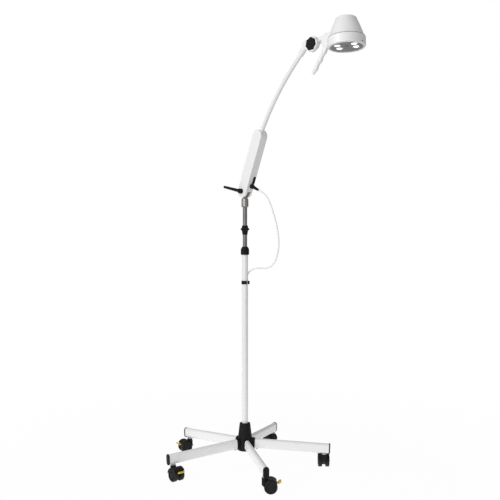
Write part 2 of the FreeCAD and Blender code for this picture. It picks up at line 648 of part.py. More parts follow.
def tube_wire():
    foot, first, middle, last, end = [in_plane(p) for p in tube_axis()]
    return Part.Wire([Part.LineSegment(foot, first).toShape(), Part.Arc(first, middle, last).toShape(),
                      Part.LineSegment(last, end).toShape()])


def arm_tube():
    wire = tube_wire()
    return in_arm_plane(swept(TUBE_RADIUS, wire).cut(swept(TUBE_RADIUS - TUBE_WALL, wire)))


def housing_half(side):
    """One moulded half: side is -1 for the front half and 1 for the back one."""
    half = HOUSING_THICK / 2
    outer = slab(stadium(0), -half, half)
    outer = rounded(outer, HOUSING_ROUND, lambda p: abs(p.y) > half - 0.01)
    inner = slab(stadium(HOUSING_WALL), -half + HOUSING_WALL, half - HOUSING_WALL)
    shell = outer.cut(inner)
    tongue_room = rod(20, TONGUE_THICK / 2 + GAP, (0, 0, 0), BACK)
    posts = [rod(LEVER_BOSS_RADIUS, half - 1, (0, 0, 0), BACK).cut(tongue_room)]
    for x, z in SCREW_PLACES:
        posts.append(rod(2 * SCREW_RADIUS, half - 1, (x, 0, z), BACK))
    if side < 0:
        posts = [p.mirror(ORIGIN, BACK) for p in posts]
    lean = math.radians(TUBE_LEAN - ARM_TILT)
    along = Vector(math.sin(lean), 0, math.cos(lean))
    tube_foot = Vector(0, 0, HOUSING_CENTRES) - along * TUBE_INSIDE
    clamp = rod(TUBE_RADIUS + 4, TUBE_INSIDE + 26, tuple(tube_foot), along)
    body = shell.fuse(posts + [clamp.common(outer)])
    keep = Part.makeBox(200, half + 1, 400, Vector(-100, 0 if side > 0 else -half - 1, -80))
    body = body.common(keep)
    bore = rod(TUBE_RADIUS + 0.04, TUBE_INSIDE + 40, tuple(tube_foot - along), along)
    swing = HOUSING_WIDTH / 2 + 2
    slot = slab(outline((0, 6), (-12, 6), (-12, -swing), (swing, -swing), (swing, 6)),
                -TONGUE_SLOT, TONGUE_SLOT)
    ring = rod(swing + 4, 2 * TONGUE_SLOT, (0, -TONGUE_SLOT, 0), BACK)
    ring = ring.cut(rod(HOUSING_WIDTH / 2 - HOUSING_WALL - 1, 2 * TONGUE_SLOT + 2,
                        (0, -TONGUE_SLOT - 1, 0), BACK))
    body = body.cut(bore).cut(slot.common(ring))
    stud_reach = half + (8 if side < 0 else -3)
    body = body.cut(rod(STUD_RADIUS + RUN, stud_reach, (0, 0, 0), BACK if side > 0 else -BACK))
    for x, z in SCREW_PLACES:
        length = HOUSING_THICK - 10
        body = body.cut(rod(SCREW_RADIUS + 0.02, length, (x, half - 2 - length, z), BACK))
        body = body.cut(rod(SCREW_HEAD_RADIUS + 0.1, 6, (x, half - 2, z), BACK))
    x_face = HOUSING_WIDTH / 2
    window = Part.makeBox(12, SWITCH_SIZE[0] - 2.4, SWITCH_SIZE[1] - 2.4,
                          Vector(x_face - 6, SWITCH_SIDE - SWITCH_SIZE[0] / 2 + 1.2,
                                 SWITCH_AT - SWITCH_SIZE[1] / 2 + 1.2))
    gland_hole = rod(GLAND_THREAD_RADIUS + 0.05, 20, (x_face - 10, GLAND_SIDE, GLAND_AT), RIGHT)
    return body.cut(window).cut(gland_hole).removeSplitter()


def housing_screws():
    screws = []
    for x, z in SCREW_PLACES:
        length = HOUSING_THICK - 11
        seat = HOUSING_THICK / 2 - 2
        shank = rod(SCREW_RADIUS, length, (x, seat - length, z), BACK)
        head = rod(SCREW_HEAD_RADIUS, 1.8, (x, seat, z), BACK)
        cross = fused(Part.makeBox(4.4, 2, 0.9, Vector(x - 2.2, seat + 0.8, z - 0.45)),
                      Part.makeBox(0.9, 2, 4.4, Vector(x - 0.45, seat + 0.8, z - 2.2)))
        screws.append(fused(head, shank).cut(cross))
    return Part.makeCompound(screws)


def led_driver():
    x, y, z = DRIVER_SIZE
    back = HOUSING_THICK / 2 - HOUSING_WALL - 0.1
    box = Part.makeBox(x, y, z, Vector(-x / 2, back - y, DRIVER_FROM))
    return box.makeFillet(2.0, box.Edges)


def power_switch():
    """The switch's body with its rim on the housing's narrow face."""
    face = HOUSING_WIDTH / 2
    width, tall = SWITCH_SIZE
    rim = Part.makeBox(SWITCH_RIM, width, tall,
                       Vector(face + 0.05, SWITCH_SIDE - width / 2, SWITCH_AT - tall / 2))
    rim = rounded(rim, 1.2, lambda p: p.x > face + SWITCH_RIM)
    inner = (width - 2.8, tall - 2.8)
    body = Part.makeBox(SWITCH_DEPTH, inner[0], inner[1],
                        Vector(face + 0.2 - SWITCH_DEPTH, SWITCH_SIDE - inner[0] / 2,
                               SWITCH_AT - inner[1] / 2))
    well = (ROCKER_SIZE[0] + 0.4, ROCKER_SIZE[1] + 0.4)
    recess = Part.makeBox(20, well[0] - 1.0, well[1],
                          Vector(face - 5, SWITCH_SIDE - well[0] / 2 + 0.5, SWITCH_AT - well[1] / 2))
    return fused(rim, body).cut(recess)


def power_rocker():
    """A shallow V: one half is pressed in and the other stands proud."""
    face = HOUSING_WIDTH / 2
    half, tall = (ROCKER_SIZE[0] - 1.4) / 2, ROCKER_SIZE[1] / 2 - ROCKER_SWING
    wire = outline((face - 2.6, SWITCH_AT - tall + 1), (face + 0.8, SWITCH_AT - tall),
                   (face + 1.4, SWITCH_AT - 4, face + 1.9, SWITCH_AT),
                   (face + 2.6, SWITCH_AT + 7, face + ROCKER_PROUD + 0.8, SWITCH_AT + tall),
                   (face + 0.2, SWITCH_AT + tall - 0.6), (face - 2.6, SWITCH_AT))
    return slab(wire, SWITCH_SIDE - half, SWITCH_SIDE + half)


def cable_gland():
    """Gland nut and its tapered bend relief, turned about X from the housing's face."""
    nut_end = GLAND_NUT
    bore = CORD_RADIUS + 0.05
    corners = []
    for number in range(7):
        angle = math.radians(60 * number + 30)
        corners.append(Vector(GLAND_RADIUS * math.cos(angle), GLAND_RADIUS * math.sin(angle), 0))
    hexagon = Part.Face(Part.makePolygon(corners)).extrude(Vector(0, 0, nut_end - 5))
    crown = spun((0, nut_end - 5), (GLAND_RADIUS - 1.2, nut_end - 5), (GLAND_RADIUS - 2, nut_end - 1.5),
                 (GLAND_RADIUS - 4, nut_end), (0, nut_end))
    relief = Part.makeCone(RELIEF_ROOT_RADIUS, RELIEF_TIP_RADIUS, RELIEF_LENGTH, Vector(0, 0, nut_end), UP)
    thread = rod(GLAND_THREAD_RADIUS, GLAND_THREAD, (0, 0, -GLAND_THREAD))
    gland = fused(hexagon, crown, relief, thread)
    gland = gland.cut(rod(bore, RELIEF_LENGTH + nut_end + 20, (0, 0, -GLAND_THREAD - 1)))
    gland = turned(gland, BACK, 90)
    return shifted(gland, HOUSING_WIDTH / 2 + 0.05, GLAND_SIDE, GLAND_AT)


def clamp_lever():
    """Lever with its own stud, which holds the housing to the tongue."""
    near = -HOUSING_THICK / 2 - GAP
    boss = rod(LEVER_BOSS_RADIUS, LEVER_BOSS, (0, near, 0), -BACK)
    boss = rounded(boss, 2.0, lambda p: p.y < near - LEVER_BOSS + 0.01)
    stud = rod(STUD_RADIUS, HOUSING_THICK - 6, (0, near - 2, 0), BACK)
    start = Vector(0, near - LEVER_BOSS + 4.5, 0)
    arm = Part.makeCone(LEVER_ROOT_RADIUS, LEVER_TIP_RADIUS, LEVER_LENGTH, ORIGIN, -RIGHT)
    tip = Part.makeSphere(LEVER_TIP_RADIUS, Vector(-LEVER_LENGTH, 0, 0))
    arm = turned(turned(fused(arm, tip), UP, LEVER_SPLAY), BACK, LEVER_RISE)
    arm = shifted(arm, start.x, start.y, start.z)
    below = Part.makeBox(300, 100, 300, Vector(-150, near, -150))
    return in_arm_plane(shifted(fused(boss, arm.cut(below), stud), 0, 0, PIVOT_HEIGHT))


# ---------------------------------------------------------------- head joint

def tube_end():
    end = tube_axis()[-1]
    lean = math.radians(TUBE_END_LEAN)
    return end, (math.sin(lean), math.cos(lean))


def joint_body():
    """Sleeve on the tube's end, carrying the friction disc beside the arm's plane."""
    end, along = tube_end()

    def beside(back, out):
        """A point of the arm's plane, back along the tube from its end and out to the lower side."""
        return (end[0] - back * along[0] + out * along[1], end[1] - back * along[1] - out * along[0])

    start = in_plane(beside(SLEEVE_START, 0))
    axis = in_plane(along)
    sleeve = rod(SLEEVE_RADIUS, SLEEVE_START + SLEEVE_CAP, start, axis)
    sleeve = rounded(sleeve, 1.0, lambda p: (p - start).dot(axis) < 0.01)
    disc = rod(JOINT_RADIUS, JOINT_THICK, (JOINT_REACH, JOINT_NEAR, JOINT_HEIGHT), BACK)
    disc = rounded(disc, 1.5, lambda p: True)
    edge = JOINT_RADIUS - 1.5
    web = slab(outline(beside(-SLEEVE_CAP, -SLEEVE_RADIUS), (JOINT_REACH - 4, JOINT_HEIGHT + edge),
                       (JOINT_REACH, JOINT_HEIGHT), (JOINT_REACH - 12, JOINT_HEIGHT - edge + 4),
                       beside(20, SLEEVE_RADIUS), beside(20, 0), beside(12, -SLEEVE_RADIUS)),
               JOINT_NEAR + 1, JOINT_NEAR + JOINT_THICK)
    body = fused(disc, sleeve, web)
    bore = rod(TUBE_RADIUS + RUN, SLEEVE_START + GAP + 1, start - axis, axis)
    stud_hole = rod(STUD_RADIUS + RUN, 60, (JOINT_REACH, JOINT_NEAR - 20, JOINT_HEIGHT), BACK)
    return in_arm_plane(body.cut(bore).cut(stud_hole))


def joint_knob():
    near = JOINT_NEAR - GAP
    core = rod(KNOB_RADIUS - 2.5, KNOB_THICK, (0, near - KNOB_THICK, 0), BACK)
    lobes = []
    for number in range(KNOB_LOBES):
        angle = math.radians(360.0 / KNOB_LOBES * number + 90)
        reach = KNOB_RADIUS - 5.5
        foot = (reach * math.cos(angle), near - KNOB_THICK, reach * math.sin(angle))
        lobes.append(rod(5.5, KNOB_THICK, foot, BACK))
    knob = core.fuse(lobes).removeSplitter()
    knob = rounded(knob, 1.4, lambda p: abs(p.y - near + KNOB_THICK) < 0.01)
    stud = rod(STUD_RADIUS, EYE_FAR + 3 - near, (0, near - 4, 0), BACK)
    return in_arm_plane(shifted(fused(knob, stud), JOINT_REACH, 0, JOINT_HEIGHT))


def head_frame(shape):
    return shifted(turned(shape, BACK, HEAD_LEAN), HEAD_REACH, 0, HEAD_HEIGHT)


def on_head(shape):
    return in_arm_plane(head_frame(shape))


def head_bracket():
    """Eye of the friction joint, neck to the shell and the block that holds the handle."""
    near = JOINT_NEAR + JOINT_THICK + GAP
    eye = rod(EYE_RADIUS, EYE_FAR - near, (JOINT_REACH, near, JOINT_HEIGHT), BACK)
    eye = rounded(eye, 1.5, lambda p: p.y > EYE_FAR - 0.01)
    half = NECK_WIDTH / 2
    low, high = NECK_LOW, NECK_HIGH
    root = JOINT_REACH + JOINT_RADIUS + 3
    near_part = slab(outline((JOINT_REACH - 6, high - 8), (JOINT_REACH - 3, high - 3, JOINT_REACH + 6, high),
                             (root + 4, high),
                             (root + 4, low), (JOINT_REACH + 10, low - 8)), near, EYE_FAR - 1)
    far_part = slab(outline((root, low), (root, high), (HEAD_REACH - 40, high), (HEAD_REACH - 40, low - 6)),
                    -half, half)
    far_part = rounded(far_part, 3.0,
                       lambda p: abs(abs(p.y) - half) < 0.01 and root + 1 < p.x < HEAD_REACH - 42)
    foot, back = BLOCK_LOW, BLOCK_BACK
    block = slab(outline((back, low + 4), (back + 1, foot + 8), (back + 3, foot + 2, back + 7, foot),
                         (HEAD_REACH - 60, foot), (HEAD_REACH - 60, low + 4)), -half, half)
    lug = slab(outline((back + 7, high - 2), (back + 9, high + 6), (back + 11, high + 8, back + 16, high + 8),
                       (HEAD_REACH - 45, high + 6), (HEAD_REACH - 45, high - 2)), -6, 6)
    bracket = fused(eye, near_part, far_part, block, lug)
    bracket = bracket.cut(head_frame(head_envelope(0.2)))
    stud_hole = rod(STUD_RADIUS + RUN, 60, (JOINT_REACH, -30, JOINT_HEIGHT), BACK)
    return in_arm_plane(bracket.cut(stud_hole))


def head_envelope(extra):
    """The head's outer shape, grown by a clearance."""
    r, s, t = RING_RADIUS + extra, SHELL_RADIUS + extra, SHELL_TOP_RADIUS + extra
    ring = rod(r, 2 * RING_HALF + 2 * extra, (0, 0, -RING_HALF - extra))
    cone = spun((0, RING_HALF), (s, RING_HALF), ((s + t) / 2 + SHELL_BULGE, RING_HALF + SHELL_HEIGHT / 2,
                t, RING_HALF + SHELL_HEIGHT), (0, RING_HALF + SHELL_HEIGHT))
    return fused(ring, cone)


def head_ring():
    r, h, w = RING_RADIUS, RING_HALF, RING_WALL
    e, hole = RING_ROUND, SHELL_RADIUS + 0.4
    mid = e * (1 - math.sqrt(0.5))
    return spun((PLATE_SEEN, -h), (r - e, -h), (r - mid, -h + mid, r, -h + e), (r, h - 3),
                (r - 0.9, h - 0.9, r - 3, h), (hole, h), (hole, h - 2), (r - w, h - 4),
                (r - w, -h + RING_LIP), (PLATE_SEEN, -h + RING_LIP))


def head_shell():
    s, t, low, high = SHELL_RADIUS, SHELL_TOP_RADIUS, RING_HALF - 1.5, RING_HALF + SHELL_HEIGHT
    e, w = SHELL_ROUND, SHELL_WALL
    middle = ((s + t) / 2 + SHELL_BULGE, (low + high) / 2)
    return spun((s - w, low), (s, low), middle + (t + 1.2, high - e),
                (t - 1.4, high - 2.2, t - e + 1, high), (0, high),
                (0, high - w), (t - e + 1, high - w), (t - w - 1.2, high - w - 2, t + 1.2 - w, high - e),
                (middle[0] - w, middle[1], s - w, low))


def light_engine():
    plate_low = -RING_HALF + RING_LIP + 0.1
    lens_centres = [(LENS_RING * math.cos(math.radians(a)), LENS_RING * math.sin(math.radians(a)))
                    for a in LENS_AZIMUTHS]
    plate = rod(RING_RADIUS - RING_WALL - SEAT, PLATE_THICK, (0, 0, plate_low))
    lenses = []
    for x, y in lens_centres:
        plate = plate.cut(rod(LENS_RADIUS + SEAT, 10, (x, y, plate_low - 2)))
        rim = rod(LENS_RADIUS, PLATE_THICK, (x, y, plate_low))
        cone = Part.makeCone(LENS_RADIUS - 1, LENS_BACK_RADIUS, LENS_DEPTH,
                             Vector(x, y, plate_low + PLATE_THICK), UP)
        lenses.append(fused(rim, cone))
    centre = rod(7.0, 3.0, (0, 0, plate_low - 1.2))
    shapes["lenses"] = on_head(Part.makeCompound(lenses))
    board_low = plate_low + PLATE_THICK + LENS_DEPTH + 0.1
    shapes["led_board"] = on_head(rod(BOARD_RADIUS, BOARD_THICK, (0, 0, board_low)))
    base_low = board_low + BOARD_THICK + 0.05
    base = rod(RING_RADIUS - RING_WALL - 0.15, SINK_BASE, (0, 0, base_low))
    room = rod(BOARD_RADIUS - 6, SINK_FIN, (0, 0, base_low + SINK_BASE - 0.5))
    fins = []
    reach = BOARD_RADIUS
    for number in range(-5, 6):
        fins.append(Part.makeBox(SINK_FIN_THICK, 2 * reach, SINK_FIN,
                                 Vector(number * SINK_PITCH - SINK_FIN_THICK / 2, -reach,
                                        base_low + SINK_BASE - 0.5)).common(room))
    shapes["heat_sink"] = on_head(base.fuse(fins).removeSplitter())
    screws, holes = [], []
    for angle in RING_SCREWS:
        reach = RING_RADIUS - RING_WALL - 3.5
        x, y = reach * math.cos(math.radians(angle)), reach * math.sin(math.radians(angle))
        head = rod(RING_SCREW_RADIUS * 2, 1.4, (x, y, -RING_HALF - 1.4))
        length = RING_LIP + PLATE_THICK + 6
        screws.append(fused(head, rod(RING_SCREW_RADIUS, length, (x, y, -RING_HALF))))
        holes.append(rod(RING_SCREW_RADIUS + 0.02, length, (x, y, -RING_HALF - 0.5)))
    drill = Part.makeCompound(holes)
    shapes["head_screws"] = on_head(Part.makeCompound(screws))
    shapes["head_ring"] = on_head(head_ring().cut(drill))
    shapes["lens_plate"] = on_head(fused(plate, centre).cut(drill))


def handle():
    """A tapering grip with finger waves on its outer side, under the bracket's block."""
    top, tip = HANDLE_TOP, HANDLE_TIP
    length = math.hypot(top[0] - tip[0], top[1] - tip[1])
    lean = math.degrees(math.atan2(top[0] - tip[0], top[1] - tip[1]))
    last = HANDLE_RADIUS - HANDLE_TAPER - HANDLE_WAVE
    rings = []
    for number in range(HANDLE_RINGS):
        share = number / (HANDLE_RINGS - 1)
        wave = HANDLE_WAVE * math.cos(2 * math.pi * HANDLE_WAVES * share)
        radius = HANDLE_RADIUS - HANDLE_TAPER * share + wave
        centre = Vector(radius - last, 0, HANDLE_RADIUS - share * (length + HANDLE_RADIUS - last))
        rings.append(Part.Wire(Part.makeCircle(radius, centre, UP)))
    grip = Part.makeLoft(rings, True, False)
    end = Part.makeSphere(last - 0.05, Vector(0, 0, last - length))
    grip = turned(fused(grip, end), BACK, lean)
    grip = shifted(grip, top[0], 0, top[1])
    above = Part.makeBox(200, 200, 200, Vector(top[0] - 100, -100, BLOCK_LOW - 0.1))
    return in_arm_plane(grip.cut(above))


def head():
    shapes["joint_body"] = joint_body()
    shapes["joint_knob"] = joint_knob()
    shapes["head_bracket"] = head_bracket()
    shapes["head_shell"] = on_head(head_shell())
    light_engine()
    shapes["handle"] = handle()


def arm():
    shapes["swivel_yoke"] = swivel_yoke()
    shapes["housing_front"] = on_housing(housing_half(-1))
    shapes["housing_back"] = on_housing(housing_half(1))
    shapes["housing_screws"] = on_housing(housing_screws())
    shapes["led_driver"] = on_housing(led_driver())
    shapes["power_switch"] = on_housing(power_switch())
    shapes["power_rocker"] = on_housing(power_rocker())
    shapes["cable_gland"] = on_housing(cable_gland())
    shapes["arm_tube"] = arm_tube()
    shapes["clamp_lever"] = clamp_lever()


# ---------------------------------------------------------------- mains lead

def cord_exit():
    """Where the lead leaves its bend relief, and the direction it points in."""
    mouth = Part.Vertex(HOUSING_WIDTH / 2 + 0.05 + GLAND_NUT + RELIEF_LENGTH, GLAND_SIDE, GLAND_AT)
    return on_housing(mouth).Point


def smooth_path(points, name):
    """Straight runs joined by tangent arcs, as large as the two runs beside each allow."""
    points = [vec(p) for p in points]
    edges, radii = [], []
    here = points[0]
    for before, corner, after in zip(points, points[1:], points[2:]):
        inward, outward = corner - before, after - corner
        half_turn = inward.getAngle(outward) / 2
        reach = 0.45 * min(inward.Length, outward.Length)
        radii.append(reach / math.tan(half_turn))
        inward.normalize()
        outward.normalize()
        start, end = corner - inward * reach, corner + outward * reach
        bisector = outward - inward
        bisector.normalize()
        middle = corner + bisector * (radii[-1] / math.cos(half_turn) - radii[-1])
        edges.append(Part.LineSegment(here, start).toShape())
        edges.append(Part.Arc(start, middle, end).toShape())
        here = end
    edges.append(Part.LineSegment(here, points[-1]).toShape())
    wire = Part.Wire(edges)
    print(name, "least radii", [round(r, 1) for r in sorted(radii)[:4]], "length", round(wire.Length, 1))
    return wire


def cord_tube(points, name):
    wire = smooth_path(points, name)
    tube = swept(CORD_RADIUS, wire)
    section = math.pi * CORD_RADIUS ** 2
    print(name, "volume over section times length", round(tube.Volume / (section * wire.Length), 4))
    return tube


def hank_reach():
    """Distance from the hank's middle line to the cord's middle in its outer turn."""
    return HANK_BEND + 2 * CORD_RADIUS * (HANK_NEST - 1)


def hank_floor(layer):
    return HANK_RAISE + CORD_RADIUS * (1 + 2 * layer)


def racetrack(half_width, low, high):
    """A bar with round ends, lying along Y over the hank's straight runs."""
    y0, y1, x = HANK_START, HANK_START + HANK_STRAIGHT, HANK_X
    box = Part.makeBox(2 * half_width, y1 - y0, high - low, Vector(x - half_width, y0, low))
    return fused(box, rod(half_width, high - low, (x, y0, low)), rod(half_width, high - low, (x, y1, low)))


def cord_hank():
    low, high = HANK_RAISE, HANK_RAISE + 2 * CORD_RADIUS * HANK_LAYERS
    ring = racetrack(hank_reach() + CORD_RADIUS, low, high)
    ring = ring.cut(racetrack(HANK_BEND - CORD_RADIUS, low - 1, high + 1))
    x = HANK_X - hank_reach()
    first = rod(CORD_RADIUS, HANK_STUB + 4, (x, HANK_START - HANK_STUB, hank_floor(0)), BACK)
    last = rod(CORD_RADIUS, HANK_STUB + 4,
               (x, HANK_START + HANK_STRAIGHT - 4, hank_floor(HANK_LAYERS - 1)), BACK)
    return fused(ring, first, last)


def hank_tie():
    """A flat band round the hank's middle, a little clear of the cord."""
    half = hank_reach() + CORD_RADIUS + GAP
    low, high = HANK_RAISE - GAP, HANK_RAISE + 2 * CORD_RADIUS * HANK_LAYERS + GAP
    middle = HANK_START + HANK_STRAIGHT / 2

    def block(grow, length):
        return Part.makeBox(2 * (half + grow), length, high - low + 2 * grow,
                            Vector(HANK_X - half - grow, middle - length / 2, low - grow))

    band = rounded(block(TIE_THICK - 0.1, TIE_WIDTH), 1.2,
                   lambda p: abs(p.x - HANK_X) > half + 0.5 and abs(p.y - middle) < 0.01)
    return band.cut(block(0, TIE_WIDTH + 4))


def plug():
    """A flat two-pin mains plug lying on the floor, with its bend relief towards the hank."""
    z = PLUG_THICK / 2
    body_start = PLUG_START + PLUG_RELIEF
    half = PLUG_WIDTH / 2
    end = body_start + PLUG_LENGTH
    corners = [(-5, body_start), (-half + 4, body_start + 13), (-half, body_start + 19), (-half, end),
               (half, end), (half, body_start + 19), (half - 4, body_start + 13), (5, body_start)]
    wire = Part.makePolygon([Vector(HANK_X + x, y, 0) for x, y in corners + corners[:1]])
    body = Part.Face(wire).extrude(Vector(0, 0, PLUG_THICK))
    body = rounded(body, 2.6, lambda p: abs(p.z - z) > z - 0.01 and p.y < end - 0.01)
    relief = Part.makeCone(CORD_RADIUS + 0.9, 5.6, PLUG_RELIEF + 2, Vector(HANK_X, PLUG_START, z), BACK)
    pins = []
    for side in (-1, 1):
        pin = rod(PIN_RADIUS, PIN_LENGTH + 1, (HANK_X + side * PIN_SPACING / 2, end - 1, z), BACK)
        pins.append(rounded(pin, 0.8, lambda p: p.y > end + PIN_LENGTH - 0.01))
    return fused(body, relief, *pins)


def lead():
    x, low, high = HANK_X - hank_reach(), hank_floor(0), hank_floor(HANK_LAYERS - 1)
    start = tuple(cord_exit())
    print("cord exit", [round(v, 2) for v in start])
    shapes["cord_loop"] = cord_tube((start,) + CORD_LOOP + (CORD_AT_CLIP,), "loop")
    inlet = HANK_START - HANK_STUB
    drop = CORD_DROP + ((x, inlet - HANK_LEAD, low), (x, inlet, low))
    shapes["cord_drop"] = cord_tube((CORD_AT_CLIP,) + drop, "drop")
    shapes["cord_hank"] = cord_hank()
    outlet = HANK_START + HANK_STRAIGHT + HANK_STUB
    tip = PLUG_START
    tail = ((x, outlet, high), (x, outlet + CORD_LAST, high)) + CORD_TAIL
    tail += ((HANK_X, tip - CORD_LAST, PLUG_THICK / 2), (HANK_X, tip, PLUG_THICK / 2))
    shapes["cord_tail"] = cord_tube(tail, "tail")
    shapes["hank_tie"] = hank_tie()
    shapes["plug"] = plug()


stand()
column()
shapes["cable_clip"] = cable_clip()
mast()
arm()
head()
lead()

os.makedirs("parts", exist_ok=True)
for node, shape in shapes.items():
    shape.exportStep("parts/" + node + ".step")
    solids = shape.Solids
    print(node, len(solids), "solids", "valid" if shape.isValid() else "INVALID",
          round(sum(s.Volume for s in solids)))
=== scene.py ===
"""Finishes, mains lead, fine details and a studio for the wheeled examination lamp.

Lengths in the code are metres. The lamp stands on the floor with its column on the Z axis.
"""

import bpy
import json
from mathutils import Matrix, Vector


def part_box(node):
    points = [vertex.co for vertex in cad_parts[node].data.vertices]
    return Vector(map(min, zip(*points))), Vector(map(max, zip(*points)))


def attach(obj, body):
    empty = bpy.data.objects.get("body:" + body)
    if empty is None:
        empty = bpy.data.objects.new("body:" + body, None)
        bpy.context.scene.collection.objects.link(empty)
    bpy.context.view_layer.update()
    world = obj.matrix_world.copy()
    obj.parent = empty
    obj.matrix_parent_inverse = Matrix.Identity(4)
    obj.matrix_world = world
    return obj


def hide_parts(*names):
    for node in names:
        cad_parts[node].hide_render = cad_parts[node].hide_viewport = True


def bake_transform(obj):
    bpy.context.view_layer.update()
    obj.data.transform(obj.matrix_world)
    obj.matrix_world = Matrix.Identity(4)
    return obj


bl_info = {
    "name": "Examination Lamp",
    "version": (1, 0, 0),
    "blender": (4, 5, 0),
    "location": "View3D > Sidebar > Lamp",
    "description": "Finishes, cord, details and studio for an examination lamp",
    "category": "Object",
}

import json
import math

import bmesh
import bpy
from bpy.props import FloatProperty, FloatVectorProperty, IntProperty, PointerProperty
from mathutils import Matrix, Vector

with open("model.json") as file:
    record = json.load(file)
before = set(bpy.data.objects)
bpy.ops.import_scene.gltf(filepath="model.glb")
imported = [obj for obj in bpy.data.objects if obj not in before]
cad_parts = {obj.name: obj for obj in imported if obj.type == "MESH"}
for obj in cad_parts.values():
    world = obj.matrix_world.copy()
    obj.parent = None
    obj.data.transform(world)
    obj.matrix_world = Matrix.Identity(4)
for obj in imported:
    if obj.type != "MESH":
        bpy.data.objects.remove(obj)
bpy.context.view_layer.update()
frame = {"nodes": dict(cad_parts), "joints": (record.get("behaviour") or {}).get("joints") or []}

MM = 0.001
TINY = 1e-7         # metres; closer points are one point
CASTORS = 5

# Points of the lead's route, in millimetres, as in the solid model.
LEAD_UPPER = ((56.47, -62.63, 1133.4), (71.7, -80.8, 1123), (88, -100.5, 1105),
              (102.5, -117.5, 1073), (115, -132, 1030), (126.5, -146.5, 984), (133.5, -155, 934),
              (131.5, -152, 886), (121, -136, 847), (104, -107, 824), (80, -66, 817),
              (56, -27, 818), (34.5, -6.3, 814), (19.9, 5.8, 804.5), (11, 13.2, 792),
              (6.7, 16.8, 776), (6.0, 17.4, 758))
LEAD_DROP = ((6.0, 17.4, 758), (5.03, 18.23, 733), (3.9, 18.9, 688), (2.6, 19.9, 620),
             (1.4, 21.5, 545), (0.5, 23.7, 462), (-0.2, 27.2, 377), (-0.8, 32.6, 292),
             (-1.6, 41, 215), (-3, 56, 150), (-5.4, 79, 96), (-9.4, 111, 53), (-15.4, 147, 25),
             (-21.6, 183, 10.5), (-28.5, 212, 4.4), (-28.5, 242, 4.4))
LEAD_TAIL = ((-28.5, 394, 10.8), (-28.5, 412, 10.8), (-22.5, 432, 10.3), (-9.5, 449, 8.6),
             (-2.6, 466, 6.85), (-2.6, 484, 6.85))
HANK_X = -2.6                   # the hank's middle line
HANK_ENDS = (262.0, 374.0)      # along Y, where its straight runs begin and end
HANK_BEND = 19.5                # radius of the inner turn
HANK_BULGE = 1.03               # control points of a half turn stand this much further out
HANK_RAISE = 1.2                # its underside above the floor
HANK_INSET = 12                 # first and last point of a straight run, from its ends
HANK_BEND_POINTS = 7            # in each half turn
HANK_TURNS = ((1, 0), (0, 0), (0, 1), (1, 1))       # place outwards and layer, in diameters
CURVE_STEPS = 12                # between two points of the lead's curve
CURVE_SIDES = 6                 # bevel resolution of the lead

WHITE = (1, 1, 1, 1)
DUST = (0.60, 0.59, 0.57)


# ---------------------------------------------------------------- settings

class LampColours(bpy.types.PropertyGroup):
    """Colours of the lamp's finishes."""
    coat: FloatVectorProperty(name="Powder coat", description="Legs, column and arm tube",
                              subtype="COLOR", size=3, default=(0.85, 0.85, 0.85), min=0, max=1)
    moulded: FloatVectorProperty(name="White mouldings", description="Housing, head and handle",
                                 subtype="COLOR", size=3, default=(0.88, 0.88, 0.88), min=0, max=1)
    black: FloatVectorProperty(name="Black mouldings", description="Hub, caps, collars and lever",
                               subtype="COLOR", size=3, default=(0.009, 0.009, 0.0095),
                               min=0, max=1)
    tread: FloatVectorProperty(name="Treads", description="Castor treads",
                               subtype="COLOR", size=3, default=(0.012, 0.012, 0.0125),
                               min=0, max=1)
    pedal: FloatVectorProperty(name="Pedals", description="Castor brake pedals",
                               subtype="COLOR", size=3, default=(0.66, 0.45, 0.02), min=0, max=1)
    mast: FloatVectorProperty(name="Mast", description="Telescopic mast",
                              subtype="COLOR", size=3, default=(0.20, 0.205, 0.20), min=0, max=1)
    steel: FloatVectorProperty(name="Steel", description="Swivel socket and yoke",
                               subtype="COLOR", size=3, default=(0.34, 0.32, 0.305), min=0, max=1)
    plate: FloatVectorProperty(name="Lens plate", description="Plate between the lenses",
                               subtype="COLOR", size=3, default=(0.25, 0.25, 0.25), min=0, max=1)
    lead: FloatVectorProperty(name="Lead", description="Mains lead and plug",
                              subtype="COLOR", size=3, default=(0.88, 0.88, 0.87), min=0, max=1)


class LampSizes(bpy.types.PropertyGroup):
    """Sizes of the lead and of the details that the solid model leaves out."""
    lead_diameter: FloatProperty(name="Lead diameter",
                                 description="Outer diameter of the mains lead",
                                 default=6.4 * MM, min=4 * MM, max=9 * MM, unit="LENGTH")
    collar_ribs: IntProperty(name="Collar ribs", description="Grip ribs round the clamping collar",
                             default=30, min=8, max=60)
    relief_ribs: IntProperty(name="Relief ribs", description="Ribs along the lead's bend relief",
                             default=7, min=3, max=12)
    wheel_ribs: IntProperty(name="Wheel ribs", description="Ribs in the face of each castor wheel",
                            default=12, min=4, max=24)
    lens_ring: FloatProperty(name="Lens ring", description="Radius of the ring the lenses stand on",
                             default=34.5 * MM, min=20 * MM, max=45 * MM, unit="LENGTH")
    lens_radius: FloatProperty(name="Lens radius", description="Outer radius of one lens",
                               default=15.9 * MM, min=8 * MM, max=20 * MM, unit="LENGTH")
    head_lean: FloatProperty(name="Head lean", description="How far the head leans back to the arm",
                             default=math.radians(-1.8), subtype="ANGLE", unit="ROTATION")


